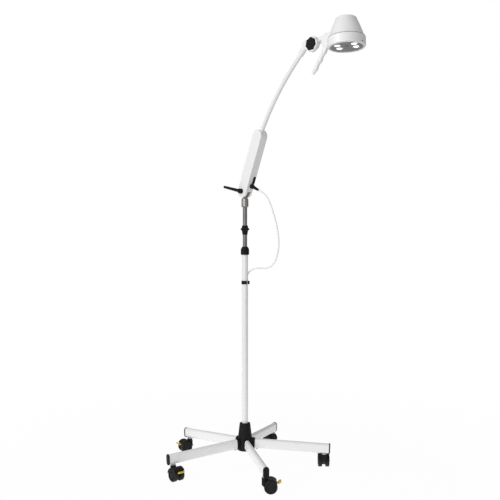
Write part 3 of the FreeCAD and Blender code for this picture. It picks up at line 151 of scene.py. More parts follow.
class LampStudio(bpy.types.PropertyGroup):
    """Camera, light and floor."""
    camera_place: FloatVectorProperty(name="Camera", description="Where the camera stands", size=3,
                                      subtype="XYZ", unit="LENGTH", default=(0.0208, -2.869, 0.892))
    focal: FloatProperty(name="Focal length", default=50.0, min=20, max=150,
                         description="Focal length in millimetres on a 36 mm sensor")
    ambient: FloatProperty(name="Ambient light", default=0.38, min=0, max=3,
                           description="Strength of the even light from all sides")
    key: FloatProperty(name="Key light", default=84.0, min=0, max=500,
                       description="Power of the large light on the left, in watts")
    fill: FloatProperty(name="Fill light", default=27.0, min=0, max=500,
                        description="Power of the light in front, in watts")
    floor_size: FloatProperty(name="Floor", description="Radius of the floor disc",
                              default=7.0, min=2, max=40, unit="LENGTH")


def settings(kind):
    """One of the scene's groups of settings: colours, sizes or studio."""
    return getattr(bpy.context.scene, "lamp_" + kind)


def opaque(colour):
    """A colour of three channels, with the fourth that a socket wants."""
    return tuple(colour)[:3] + (1.0,)


def socket_key(name):
    """_2 means the third socket; another name's underscores are spaces."""
    return int(name[1:]) if name.startswith("_") else name.replace("_", " ")


# ---------------------------------------------------------------- shaders

class Field:
    """A number that varies over a surface, used in ordinary arithmetic."""

    def __init__(self, surface, socket):
        self.surface = surface
        self.socket = socket

    def combined(self, operation, *values):
        node = self.surface.node("ShaderNodeMath", {"operation": operation},
                                 **{"_" + str(place): value for place, value in enumerate(values)})
        return Field(self.surface, node.outputs[0])

    def __add__(self, other):
        return self.combined("ADD", self, other)

    def __radd__(self, other):
        return self.combined("ADD", other, self)

    def __sub__(self, other):
        return self.combined("SUBTRACT", self, other)

    def __rsub__(self, other):
        return self.combined("SUBTRACT", other, self)

    def __mul__(self, other):
        return self.combined("MULTIPLY", self, other)

    def __rmul__(self, other):
        return self.combined("MULTIPLY", other, self)

    def __truediv__(self, other):
        return self.combined("DIVIDE", self, other)

    def __rtruediv__(self, other):
        return self.combined("DIVIDE", other, self)

    def clamped(self, low=0.0, high=1.0):
        return self.combined("MINIMUM", self.combined("MAXIMUM", self, low), high)


class Surface:
    """One material, built from fields."""

    def __init__(self, name):
        self.material = bpy.data.materials.new(name)
        self.material.use_nodes = True
        self.tree = self.material.node_tree
        self.tree.nodes.clear()
        self.place = self.node("ShaderNodeTexCoord").outputs["Object"]

    def node(self, kind, settings=None, **values):
        node = self.tree.nodes.new(kind)
        for name, value in (settings or {}).items():
            setattr(node, name, value)
        for name, value in values.items():
            socket = node.inputs[socket_key(name)]
            if isinstance(value, Field):
                value = value.socket
            if isinstance(value, bpy.types.NodeSocket):
                self.tree.links.new(value, socket)
            else:
                socket.default_value = value
        return node

    def stretched(self, scale):
        return self.node("ShaderNodeMapping", None, Vector=self.place, Scale=scale).outputs[0]

    def noise(self, scale, detail=2.0, roughness=0.5, place=None):
        node = self.node("ShaderNodeTexNoise", None, Vector=place or self.place, Scale=scale,
                         Detail=detail, Roughness=roughness)
        return Field(self, node.outputs[0])

    def cells(self, scale):
        node = self.node("ShaderNodeTexVoronoi", None, Vector=self.place, Scale=scale)
        return Field(self, node.outputs["Distance"])

    def mixed(self, share, first, second):
        """Colour between two colours."""
        first, second = [c if isinstance(c, bpy.types.NodeSocket) else opaque(c)
                         for c in (first, second)]
        node = self.node("ShaderNodeMix", {"data_type": "RGBA"}, _0=share, _6=first, _7=second)
        return node.outputs[2]

    def relief(self, height, depth, strength):
        """Normal of a fine relief whose highest points stand out by depth."""
        return self.node("ShaderNodeBump", None, Height=height, Distance=depth,
                         Strength=strength).outputs[0]

    def finish(self, colour, roughness, normal=None, metallic=0.0, coat=0.0, **others):
        """Gives the material its shader."""
        if not isinstance(colour, bpy.types.NodeSocket):
            colour = opaque(colour)
        if normal is not None:
            others["Normal"] = normal
        shader = self.node("ShaderNodeBsdfPrincipled", None, Base_Color=colour,
                           Roughness=roughness, Metallic=metallic, Coat_Weight=coat, **others)
        self.node("ShaderNodeOutputMaterial", None, Surface=shader.outputs[0])
        return self.material


def tinted(colour, factor):
    """A colour made darker or lighter."""
    return tuple(min(1.0, channel * factor) for channel in colour)


def powder_coat(name, colour):
    """Sprayed and baked paint: a fine orange peel, faint cloudiness and light dust."""
    s = Surface(name)
    cloud = s.noise(9, 3)
    peel = s.noise(1300, 2)
    speck = (s.cells(260) * -9 + 1).clamped()
    dust = ((s.noise(28, 4) - 0.48) * 3).clamped()
    base = s.mixed((cloud * 0.6).clamped(), colour, tinted(colour, 0.955))
    base = s.mixed(dust * 0.05 + speck * 0.04, base, DUST)
    rough = 0.30 + cloud * 0.10 + dust * 0.10
    normal = s.relief(peel * 0.4 + s.noise(420, 1), 0.018 * MM, 0.5)
    return s.finish(base, rough, normal, coat=0.15)


def moulded_plastic(name, colour, rough=0.34, grain=2600.0):
    """Injection-moulded plastic with a fine spark-eroded texture."""
    s = Surface(name)
    cloud = s.noise(14, 3)
    fine = s.noise(grain, 2, 0.6)
    flow = s.noise(1.0, 2, place=s.stretched((60, 60, 9)))
    handled = ((s.noise(45, 5) - 0.52) * 4).clamped()
    base = s.mixed((cloud * 0.5 + flow * 0.25).clamped(), colour, tinted(colour, 0.95))
    base = s.mixed(handled * 0.035, base, DUST)
    normal = s.relief(fine + cloud * 0.3, 0.008 * MM, 0.5)
    return s.finish(base, rough + cloud * 0.08 + handled * 0.07, normal, coat=0.05)


def black_plastic(name, colour, rough=0.55, scuffs=0.35):
    """Black nylon: leathery grain, with paler rubbed patches and fine scratches."""
    s = Surface(name)
    grain = s.cells(1500)
    rub = ((s.noise(60, 5, 0.6) - 0.55) * 5).clamped() * scuffs
    lines = ((s.noise(1.0, 3, 0.7, s.stretched((900, 900, 35))) - 0.62) * 8).clamped() * scuffs
    base = s.mixed((rub * 0.35 + lines * 0.5).clamped(), colour, (0.055, 0.055, 0.055))
    rough_field = rough + s.noise(35, 3) * 0.12 + rub * 0.12 - grain * 0.05
    normal = s.relief(grain + s.noise(700, 2) * 0.5, 0.05 * MM, 0.5)
    return s.finish(base, rough_field, normal, Specular_IOR_Level=0.14)


def tread_rubber(name, colour):
    """Soft tread over a nylon rim: dusty where it rolls, with a fine moulded ripple."""
    s = Surface(name)
    dust = ((s.noise(70, 5, 0.65) - 0.42) * 2.4).clamped()
    pits = (s.cells(900) * -5 + 1).clamped()
    base = s.mixed(dust * 0.22 + pits * 0.10, colour, (0.06, 0.058, 0.055))
    normal = s.relief(s.noise(1100, 3) - pits * 0.5, 0.06 * MM, 0.5)
    return s.finish(base, 0.46 + dust * 0.25, normal, Specular_IOR_Level=0.22)


def satin_tube(name, colour):
    """Drawn tube with a dark satin coat: fine lines along it and slide marks round it."""
    s = Surface(name)
    drawn = s.noise(1.0, 3, 0.6, s.stretched((1600, 1600, 7)))
    rings = s.noise(1.0, 2, 0.5, s.stretched((6, 6, 520)))
    worn = ((rings - 0.60) * 5).clamped()
    base = s.mixed(drawn * 0.5 + worn * 0.4, tinted(colour, 0.82), tinted(colour, 1.35))
    rough = 0.30 + drawn * 0.14 + worn * 0.08
    return s.finish(base, rough, s.relief(drawn, 0.02 * MM, 0.5), metallic=0.55)


def turned_steel(name, colour, rough=0.30):
    """Turned and brushed steel: fine rings round the axis."""
    s = Surface(name)
    rings = s.noise(1.0, 4, 0.75, s.stretched((14, 14, 2600)))
    cloud = s.noise(55, 3)
    base = s.mixed(rings * 0.6 + cloud * 0.2, tinted(colour, 0.80), tinted(colour, 1.25))
    return s.finish(base, rough + rings * 0.16, s.relief(rings, 0.02 * MM, 0.5), metallic=0.88)


def zinc_plate(name):
    """Bright zinc on small fasteners."""
    s = Surface(name)
    spangle = s.cells(1800)
    base = s.mixed(spangle, (0.42, 0.42, 0.44), (0.60, 0.60, 0.60))
    rough = 0.28 + s.noise(900, 2) * 0.14
    return s.finish(base, rough, s.relief(spangle, 0.04 * MM, 0.4), metallic=0.9)


def cast_aluminium(name):
    """Bare aluminium with milling lines."""
    s = Surface(name)
    milled = s.noise(1.0, 3, 0.6, s.stretched((1400, 30, 30)))
    base = s.mixed(milled, (0.50, 0.50, 0.52), (0.66, 0.66, 0.68))
    return s.finish(base, 0.32 + milled * 0.16, s.relief(milled, 0.05 * MM, 0.5), metallic=0.92)


def board_finish(name):
    """Solder mask with faint tracks."""
    s = Surface(name)
    tracks = ((s.noise(160, 1) - 0.5) * 14).clamped()
    base = s.mixed(tracks, (0.02, 0.12, 0.05), (0.04, 0.20, 0.08))
    return s.finish(base, 0.35 + tracks * 0.05, s.relief(tracks, 0.04 * MM, 0.5), coat=0.3)


def plate_finish(name, colour):
    """Grey moulded plate with fine concentric diamond facets between the lenses."""
    s = Surface(name)
    facets = s.cells(330)
    cloud = s.noise(75, 3)
    share = (facets * 0.9 + cloud * 0.2).clamped()
    base = s.mixed(share, tinted(colour, 0.35), tinted(colour, 1.5))
    normal = s.relief(facets, 0.5 * MM, 0.6)
    return s.finish(base, 0.30 + cloud * 0.12, normal, metallic=0.35, coat=0.2)


def reflector_finish(name):
    """Bright facetted cup behind a lens."""
    s = Surface(name)
    facets = s.cells(520)
    base = s.mixed(facets, (0.34, 0.34, 0.35), (0.62, 0.62, 0.63))
    return s.finish(base, 0.22 + facets * 0.1, s.relief(facets, 0.3 * MM, 0.7), metallic=0.75)


def led_finish(name):
    """Lit emitter under its dome."""
    s = Surface(name)
    glow = s.noise(600, 2)
    light = s.mixed(glow * 0.3, (1.0, 1.0, 1.0), (0.93, 0.96, 1.0))
    return s.finish((0.95, 0.95, 0.95), 0.15 + glow * 0.05, None, Emission_Color=light,
                    Emission_Strength=1.6)


def lead_jacket(name, colour):
    """Soft white jacket with a slight sheen, fine extrusion lines and a few smudges."""
    s = Surface(name)
    smudge = ((s.noise(38, 4) - 0.5) * 3).clamped()
    skin = s.noise(1500, 2)
    base = s.mixed(smudge * 0.05, colour, (0.60, 0.58, 0.55))
    return s.finish(base, 0.38 + smudge * 0.12, s.relief(skin, 0.02 * MM, 0.4), coat=0.08)


# ---------------------------------------------------------------- shapes

def add_piece(name, mesh, body, finish):
    """Puts a finished mesh in the scene, on one of the lamp's bodies."""
    mesh.materials.clear()
    mesh.materials.append(finish)
    piece = bpy.data.objects.new(name, mesh)
    bpy.context.scene.collection.objects.link(piece)
    if body:
        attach(piece, body)
    return piece


def smooth(mesh, sharp=35.0):
    """Smooth shading, with edges past an angle in degrees left sharp."""
    mesh.shade_smooth()
    mesh.set_sharp_from_angle(angle=math.radians(sharp))


def millimetres(profile):
    """A profile given in millimetres, in metres."""
    return [(radius * MM, height * MM) for radius, height in profile]


def lathe(profile, segments):
    """A closed ring or cap: the (radius, height) profile turned about Z."""
    build = bmesh.new()
    rows = []
    for radius, height in profile:
        if radius < TINY:
            rows.append([build.verts.new((0, 0, height))])
            continue
        turn = [2 * math.pi * step / segments for step in range(segments)]
        rows.append([build.verts.new((radius * math.cos(angle), radius * math.sin(angle), height))
                     for angle in turn])
    for low, high in zip(rows, rows[1:]):
        for step in range(segments):
            follow = (step + 1) % segments
            corners = [low[step % len(low)], low[follow % len(low)],
                       high[follow % len(high)], high[step % len(high)]]
            corners = [c for place, c in enumerate(corners) if c not in corners[:place]]
            if len(corners) > 2:
                build.faces.new(corners)
    bmesh.ops.remove_doubles(build, verts=build.verts, dist=TINY)
    bmesh.ops.recalc_face_normals(build, faces=build.faces)
    mesh = bpy.data.meshes.new("turned")
    build.to_mesh(mesh)
    build.free()
    smooth(mesh)
    return mesh


def joined(meshes):
    """One mesh made of several, which are dropped."""
    build = bmesh.new()
    for mesh in meshes:
        build.from_mesh(mesh)
        bpy.data.meshes.remove(mesh)
    mesh = bpy.data.meshes.new("joined")
    build.to_mesh(mesh)
    build.free()
    smooth(mesh)
    return mesh


class Geometry:
    """A small geometry node tree with named inputs, evaluated to a plain mesh."""

    def __init__(self, name, inputs):
        self.tree = bpy.data.node_groups.new(name, "GeometryNodeTree")
        self.tree.interface.new_socket(name="Geometry", in_out="OUTPUT",
                                       socket_type="NodeSocketGeometry")
        kinds = {int: "NodeSocketInt", float: "NodeSocketFloat"}
        self.inputs = {}
        for label, value in inputs.items():
            kind = kinds.get(type(value), "NodeSocketMaterial")
            item = self.tree.interface.new_socket(name=label, in_out="INPUT", socket_type=kind)
            self.inputs[label] = (item.identifier, value)
        self.source = self.tree.nodes.new("NodeGroupInput")

    def given(self, label):
        return self.source.outputs[label]

    def node(self, kind, settings=None, **values):
        node = self.tree.nodes.new(kind)
        for name, value in (settings or {}).items():
            setattr(node, name, value)
        for name, value in values.items():
            socket = node.inputs[socket_key(name)]
            if isinstance(value, bpy.types.NodeSocket):
                self.tree.links.new(value, socket)
            else:
                socket.default_value = value
        return node

    def maths(self, operation, first, second):
        node = self.node("ShaderNodeMath", {"operation": operation}, _0=first, _1=second)
        return node.outputs[0]

    def vector(self, **parts):
        return self.node("ShaderNodeCombineXYZ", None, **parts).outputs[0]

    def mesh(self, instances):
        """Realizes the instances, sets the material and returns the plain mesh."""
        real = self.node("GeometryNodeRealizeInstances", None, Geometry=instances)
        painted = self.node("GeometryNodeSetMaterial", None, Geometry=real.outputs[0],
                            Material=self.given("Material"))
        end = self.tree.nodes.new("NodeGroupOutput")
        self.tree.links.new(painted.outputs[0], end.inputs[0])
        host = bpy.data.objects.new("host", bpy.data.meshes.new("host"))
        bpy.context.scene.collection.objects.link(host)
        modifier = host.modifiers.new("shape", "NODES")
        modifier.node_group = self.tree
        for identifier, value in self.inputs.values():
            modifier[identifier] = value
        bpy.context.view_layer.update()
        evaluated = host.evaluated_get(bpy.context.evaluated_depsgraph_get())
        mesh = bpy.data.meshes.new_from_object(evaluated)
        host.modifiers.remove(modifier)
        bpy.data.objects.remove(host)
        return mesh


def ring_of_ribs(count, radius, length, width, height, finish):
    """Ribs standing round a circle in the XY plane: length is radial and height along Z."""
    tree = Geometry("Ring of ribs", {"Count": count, "Radius": radius, "Length": length,
                                     "Width": width, "Height": height, "Material": finish})
    given = tree.given
    circle = tree.node("GeometryNodeMeshCircle", None, Vertices=given("Count"),
                       Radius=given("Radius"))
    size = tree.vector(X=given("Length"), Y=given("Width"), Z=given("Height"))
    rib = tree.node("GeometryNodeMeshCube", None, Size=size)
    step = tree.maths("DIVIDE", 2 * math.pi, given("Count"))
    angle = tree.maths("MULTIPLY", tree.node("GeometryNodeInputIndex").outputs[0], step)
    placed = tree.node("GeometryNodeInstanceOnPoints", None, Points=circle.outputs[0],
                       Instance=rib.outputs[0], Rotation=tree.vector(Z=angle))
    return tree.mesh(placed.outputs[0])


def tapered_rings(count, length, root, tip, thick, finish):
    """Round ribs along Z, from the root's radius to the tip's."""
    tree = Geometry("Tapered rings", {"Count": count, "Length": length, "Root": root, "Tip": tip,
                                      "Thickness": thick, "Material": finish})
    given = tree.given
    steps = tree.maths("SUBTRACT", given("Count"), 1.0)
    pitch = tree.maths("DIVIDE", given("Length"), steps)
    line = tree.node("GeometryNodeMeshLine", None, Count=given("Count"),
                     Offset=tree.vector(Z=pitch))
    share = tree.maths("DIVIDE", tree.node("GeometryNodeInputIndex").outputs[0], steps)
    radius = tree.node("ShaderNodeMapRange", None, Value=share, To_Min=given("Root"),
                       To_Max=given("Tip")).outputs[0]
    unit = tree.node("GeometryNodeCurvePrimitiveCircle", None, Resolution=40, Radius=1.0)
    section = tree.node("GeometryNodeCurvePrimitiveCircle", None, Resolution=10,
                        Radius=tree.maths("DIVIDE", given("Thickness"), given("Root")))
    ring = tree.node("GeometryNodeCurveToMesh", None, Curve=unit.outputs[0],
                     Profile_Curve=section.outputs[0])
    placed = tree.node("GeometryNodeInstanceOnPoints", None, Points=line.outputs[0],
                       Instance=ring.outputs[0], Scale=tree.vector(X=radius, Y=radius, Z=radius))
    return tree.mesh(placed.outputs[0])


# ---------------------------------------------------------------- places taken from the frame

def joint(name):
    return next(j for j in frame["joints"] if j["name"] == name)


def joint_point(name):
    return Vector(joint(name)["pos_m"])


def joint_axis(name):
    return Vector(joint(name)["axis"]).normalized()


def centre(node):
    """Middle of a solid part's box."""
    low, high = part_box(node)
    return (Vector(low) + Vector(high)) / 2


def along(direction, place):
    """Matrix that stands something made on Z on a point, pointing in a direction."""
    turn = Vector((0, 0, 1)).rotation_difference(direction)
    return Matrix.Translation(place) @ turn.to_matrix().to_4x4()


def arm_azimuth():
    """Direction in which the arm leans, square to its tilt axis."""
    side = joint_axis("arm_tilt")
    return math.atan2(side.y, side.x) - math.pi / 2


def head_matrix():
    """The head's own axes: origin at the lens plate's centre, Z up through the shell."""
    lean = Matrix.Rotation(settings("sizes").head_lean, 4, "Y")
    turn = Matrix.Rotation(arm_azimuth(), 4, "Z")
    return Matrix.Translation(centre("head_ring")) @ turn @ lean


def paint(nodes, finish):
    """Gives solid parts their finish."""
    for name in nodes:
        node = frame["nodes"][name]
        node.data.materials.clear()
        node.data.materials.append(finish)


# ---------------------------------------------------------------- operators

FINISHES = {}       # filled by the finishes step, read by those after it


class LAMP_OT_studio(bpy.types.Operator):
    """Camera, soft lights, pale floor and white surroundings"""
    bl_idname = "lamp.studio"
    bl_label = "Studio"
    aim = (0.05, -0.1, 0.85)        # what both lights point at
    key_light = ((-3.2, -2.3, 2.6), 2.2)        # place and diameter, in metres
    fill_light = ((-0.9, -3.7, 1.5), 1.6)
    clip_end = 100
    paper_glow = 0.97       # share of the floor that shows plain white
    fade_start = 0.75       # the floor's fade, from the column's axis, in metres
    fade_width = 1.3
    floor_drop = 0.4 * MM   # under the treads
    floor_segments = 96

    def execute(self, context):
        stage = settings("studio")
        camera = bpy.data.objects.new("camera", bpy.data.cameras.new("camera"))
        camera.location = stage.camera_place
        camera.rotation_euler = (math.pi / 2, 0, 0)
        camera.data.lens = stage.focal
        camera.data.clip_end = self.clip_end
        context.scene.collection.objects.link(camera)
        context.scene.camera = camera
        for name, power, (place, size) in (("key", stage.key, self.key_light),
                                           ("fill", stage.fill, self.fill_light)):
            light = bpy.data.lights.new(name, "AREA")
            light.shape = "DISK"
            light.size = size
            light.energy = power
            lamp = bpy.data.objects.new(name, light)
            lamp.location = place
            sight = Vector(self.aim) - Vector(place)
            lamp.rotation_euler = sight.to_track_quat("-Z", "Y").to_euler()
            context.scene.collection.objects.link(lamp)
        self.surroundings(context, stage)
        self.floor(context, stage)
        context.scene.view_settings.view_transform = "Standard"
        return {"FINISHED"}

    def surroundings(self, context, stage):
        """White to the camera, and a weaker even light on the lamp."""
        world = bpy.data.worlds.new("studio")
        context.scene.world = world
        world.use_nodes = True
        nodes, links = world.node_tree.nodes, world.node_tree.links
        nodes.clear()
        lit = nodes.new("ShaderNodeBackground")
        lit.inputs["Strength"].default_value = stage.ambient
        seen = nodes.new("ShaderNodeBackground")
        for shade in (lit, seen):
            shade.inputs["Color"].default_value = WHITE
        path = nodes.new("ShaderNodeLightPath")
        both = nodes.new("ShaderNodeMixShader")
        end = nodes.new("ShaderNodeOutputWorld")
        links.new(path.outputs["Is Camera Ray"], both.inputs[0])
        links.new(lit.outputs[0], both.inputs[1])
        links.new(seen.outputs[0], both.inputs[2])
        links.new(both.outputs[0], end.inputs[0])

    def floor(self, context, stage):
        """A pale disc that fades out at its rim."""
        s = Surface("floor_paper")
        reach = s.node("ShaderNodeVectorMath", {"operation": "LENGTH"}, _0=s.place)
        distance = Field(s, reach.outputs["Value"])
        fade = ((distance - self.fade_start) / self.fade_width).clamped()
        paper = s.mixed(s.noise(350, 3), (0.92, 0.92, 0.92), (0.96, 0.96, 0.96))
        matt = s.node("ShaderNodeBsdfDiffuse", None, Color=paper)
        glow = s.node("ShaderNodeEmission", None, Color=WHITE, Strength=1.0)
        clear = s.node("ShaderNodeBsdfTransparent")
        lifted = s.node("ShaderNodeMixShader", None, _0=self.paper_glow, _1=matt.outputs[0],
                        _2=glow.outputs[0])
        faded = s.node("ShaderNodeMixShader", None, _0=fade, _1=lifted.outputs[0],
                       _2=clear.outputs[0])
        s.node("ShaderNodeOutputMaterial", None, Surface=faded.outputs[0])
        build = bmesh.new()
        bmesh.ops.create_circle(build, cap_ends=True, segments=self.floor_segments,
                                radius=stage.floor_size)
        mesh = bpy.data.meshes.new("floor")
        build.to_mesh(mesh)
        build.free()
        floor = add_piece("floor", mesh, None, s.material)
        floor.location.z = -self.floor_drop


class LAMP_OT_finishes(bpy.types.Operator):
    """Makes the finishes and gives the solid parts theirs"""
    bl_idname = "lamp.finishes"
    bl_label = "Finishes"

    def execute(self, context):
        c = settings("colours")
        FINISHES.update({
            "coat": powder_coat("white_powder_coat", c.coat),
            "moulded": moulded_plastic("white_moulding", c.moulded),
            "black": black_plastic("black_moulding", c.black),
            "nylon": black_plastic("castor_nylon", c.black, 0.45, 0.6),
            "tread": tread_rubber("castor_tread", c.tread),
            "pedal": moulded_plastic("yellow_moulding", c.pedal, 0.32, 1800.0),
            "mast": satin_tube("mast_coat", c.mast),
            "steel": turned_steel("turned_steel", c.steel),
            "zinc": zinc_plate("zinc_plate"),
            "aluminium": cast_aluminium("heat_sink_aluminium"),
            "board": board_finish("circuit_board"),
            "driver": black_plastic("driver_case", (0.12, 0.12, 0.125), 0.5, 0.2),
            "plate": plate_finish("lens_plate", c.plate),
            "reflector": reflector_finish("reflector"),
            "led": led_finish("led"),
            "lead": lead_jacket("lead_jacket", c.lead),
            # painted shade: dark grey finish for the ring that stands in for the shadow in the seam
            # of shell and ring
            "gasket": moulded_plastic("painted_seam_shadow", (0.16, 0.16, 0.16), 0.6),
        })
        numbers = range(1, CASTORS + 1)
        for finish, nodes in (
                ("coat", ["leg_%d" % number for number in numbers] + ["column_tube", "arm_tube"]),
                ("moulded", ["housing_front", "housing_back", "joint_body", "head_bracket",
                             "head_shell", "head_ring", "handle"]),
                ("black", ["leg_end_caps", "base_hub", "lock_collar", "cable_clip", "stop_sleeve",
                           "stop_nut", "cable_gland", "clamp_lever", "joint_knob", "power_rocker",
                           "power_switch", "column_bush", "mast_foot_bush", "hank_tie"]),
                ("nylon", ["castor_%d_hood" % number for number in numbers]),
                ("tread", ["castor_%d_wheels" % number for number in numbers]),
                ("pedal", ["castor_%d_pedal" % number for number in numbers]),
                ("mast", ["mast_tube"]),
                ("steel", ["swivel_socket", "swivel_yoke"]),
                ("zinc", ["leg_bolts", "castor_stems", "housing_screws", "head_screws"]),
                ("aluminium", ["heat_sink"]),
                ("board", ["led_board"]),
                ("driver", ["led_driver"]),
                ("plate", ["lens_plate", "lenses"]),
                ("lead", ["cord_loop", "cord_drop", "cord_hank", "cord_tail", "plug"])):
            paint(nodes, FINISHES[finish])
        return {"FINISHED"}


def route_curve(name, points, bevel):
    """A smooth open curve with the route's points as its control points."""
    curve = bpy.data.curves.new(name, "CURVE")
    curve.dimensions = "3D"
    spline = curve.splines.new("NURBS")
    spline.points.add(len(points) - 1)
    for point, place in zip(spline.points, points):
        point.co = (place[0] * MM, place[1] * MM, place[2] * MM, 1)
    spline.order_u = 3
    spline.use_endpoint_u = True
    spline.resolution_u = CURVE_STEPS
    curve.bevel_depth = bevel
    curve.bevel_resolution = CURVE_SIDES
    curve.use_fill_caps = True
    return bpy.data.objects.new(name, curve)


def mesh_of(item):
    """An object's final mesh, and the object is dropped."""
    bpy.context.scene.collection.objects.link(item)
    bpy.context.view_layer.update()
    evaluated = item.evaluated_get(bpy.context.evaluated_depsgraph_get())
    mesh = bpy.data.meshes.new_from_object(evaluated)
    bpy.data.objects.remove(item)
    return mesh


def line_along(points):
    """The points that the route's smooth line runs through."""
    return [vertex.co.copy() for vertex in mesh_of(route_curve("line", points, 0)).vertices]


def halfway(a, b):
    return tuple((p + q) / 2 for p, q in zip(a, b))


def straight_run(x, starts, ends, height):
    """Three points of a straight run of the hank, between its bends."""
    inset = HANK_INSET if ends > starts else -HANK_INSET
    return [(x, y, height) for y in (starts + inset, (starts + ends) / 2, ends - inset)]


def hank_points(diameter):
    """The hank's turns: two beside each other in each of two layers, wound one after another."""
    points = []
    near, far = HANK_ENDS
    shares = [(step + 0.5) / HANK_BEND_POINTS for step in range(HANK_BEND_POINTS)]
    reaches = [HANK_BEND + nest * diameter for nest, _ in HANK_TURNS]
    heights = [HANK_RAISE + diameter / 2 + layer * diameter for _, layer in HANK_TURNS]
    for number, (reach, height) in enumerate(zip(reaches, heights)):
        points += straight_run(HANK_X - reach, near, far, height)
        if number == len(HANK_TURNS) - 1:
            break
        for share in shares:
            angle = math.pi * share
            bulge = reach * HANK_BULGE
            points.append((HANK_X - bulge * math.cos(angle), far + bulge * math.sin(angle), height))
        points += straight_run(HANK_X + reach, far, near, height)
        for share in shares:
            angle = math.pi * share
            bulge = (reach + (reaches[number + 1] - reach) * share) * HANK_BULGE
            points.append((HANK_X + bulge * math.cos(angle), near - bulge * math.sin(angle),
                           height + (heights[number + 1] - height) * share))
    return points


class LAMP_OT_lead(bpy.types.Operator):
    """The mains lead: free loop, drop behind the column, hank and run to the plug"""
    bl_idname = "lamp.lead"
    bl_label = "Mains lead"
    splits = (4, 8)         # points of the free loop before which it is split

    def execute(self, context):
        diameter = settings("sizes").lead_diameter
        upper = LEAD_UPPER
        one, two = self.splits
        first = halfway(upper[one - 1], upper[one])
        second = halfway(upper[two - 1], upper[two])
        parts = (("lead_at_gland", upper[:one] + (first,), ("arm", "yoke")),
                 ("lead_loop", (first,) + upper[one:two] + (second,), ("yoke", "mast")),
                 ("lead_to_clip", (second,) + upper[two:], ("mast", "stand")))
        pieces = []
        for name, points, bodies in parts:
            path = line_along(points)
            mesh = mesh_of(route_curve("tube", points, diameter / 2))
            mesh.shade_smooth()
            piece = add_piece(name, mesh, None, FINISHES["lead"])
            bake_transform(piece)
            pieces.append(piece)
        for piece in pieces:
            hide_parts("cord_loop")
        points = LEAD_DROP + tuple(hank_points(diameter / MM)) + LEAD_TAIL
        lower = route_curve("lead_lower", points, diameter / 2)
        context.scene.collection.objects.link(lower)
        lower.data.materials.append(FINISHES["lead"])
        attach(lower, "stand")
        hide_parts("cord_drop", "cord_hank", "cord_tail")
        path = line_along(points)
        return {"FINISHED"}


class LAMP_OT_collar_ribs(bpy.types.Operator):
    """Grip ribs round the clamping collar"""
    bl_idname = "lamp.collar_ribs"
    bl_label = "Collar ribs"
    rib = (1.1 * MM, 1.5 * MM)      # radial length and width
    sunk = 0.25 * MM                # a rib's middle, inside the collar's surface
    share = 0.45                    # of the collar's height that a rib covers
    middle = 0.36                   # of the collar's height where its middle is

    def execute(self, context):
        low, high = [Vector(corner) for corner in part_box("lock_collar")]
        radius, height = (high.x - low.x) / 2, high.z - low.z
        ribs = ring_of_ribs(settings("sizes").collar_ribs, radius - self.sunk, *self.rib,
                            self.share * height, FINISHES["black"])
        ribs.transform(Matrix.Translation((0, 0, low.z + self.middle * height)))
        add_piece("collar_ribs", ribs, "collar", FINISHES["black"])
        return {"FINISHED"}


class LAMP_OT_gland(bpy.types.Operator):
    """Round ribs along the bend relief of the cable gland"""
    bl_idname = "lamp.gland"
    bl_label = "Relief ribs"
    relief = (36 * MM, 5.6 * MM, 4.1 * MM)      # length, and radius at its root and its tip
    ribbed = 0.72           # share of the relief's length with ribs
    first_rib = 0.82        # of its length, from the tip back to the first rib
    tip_room = 0.25 * MM    # last rib's radius over the tip's
    rib_radius = 0.75 * MM
    sharp = 60              # degrees

    def execute(self, context):
        sizes = settings("sizes")
        end = Vector(LEAD_UPPER[0]) * MM
        out = (Vector(LEAD_UPPER[1]) * MM - end).normalized()
        length, root, tip = self.relief
        rings = tapered_rings(sizes.relief_ribs, self.ribbed * length, root, tip + self.tip_room,
                              self.rib_radius, FINISHES["black"])
        smooth(rings, self.sharp)
        rings.transform(along(out, end - out * self.first_rib * length))
        add_piece("relief_ribs", rings, "arm", FINISHES["black"])
        return {"FINISHED"}


class LAMP_OT_wheel_faces(bpy.types.Operator):
    """Ribbed faces and hub caps of the castor wheels"""
    bl_idname = "lamp.wheel_faces"
    bl_label = "Wheel faces"
    half_width = 22.5 * MM      # from the castor's middle to a wheel's outer face
    recess = 1.6 * MM           # depth of the face that the ribs stand on
    rib_ring = 13.5 * MM        # radius of the ring of ribs
    rib = (8.2 * MM, 1.1 * MM, 1.9 * MM)        # radial length, width and height
    cap_profile = ((0, 2.0), (3.2, 2.0), (4.6, 1.7), (5.2, 1.2), (5.2, 0), (0, 0))
    rim_profile = ((18.6, 0), (18.6, 1.35), (18.2, 1.6), (17.4, 1.6), (17.0, 1.2), (17.0, 0),
                   (18.6, 0))

    def execute(self, context):
        for number in range(1, CASTORS + 1):
            spin = "castor_%d_roll" % number
            middle, axis = joint_point(spin), joint_axis(spin)
            meshes = []
            for side in (1, -1):
                depth = self.half_width - self.recess
                place = along(axis * side, middle + axis * side * depth)
                ribs = ring_of_ribs(settings("sizes").wheel_ribs, self.rib_ring, *self.rib,
                                    FINISHES["nylon"])
                cap = lathe(millimetres(self.cap_profile), 40)
                rim = lathe(millimetres(self.rim_profile), 72)
                for mesh in (ribs, cap, rim):
                    mesh.transform(place)
                    meshes.append(mesh)
            add_piece("wheel_faces_%d" % number, joined(meshes), "wheels_%d" % number,
                      FINISHES["nylon"])
        return {"FINISHED"}


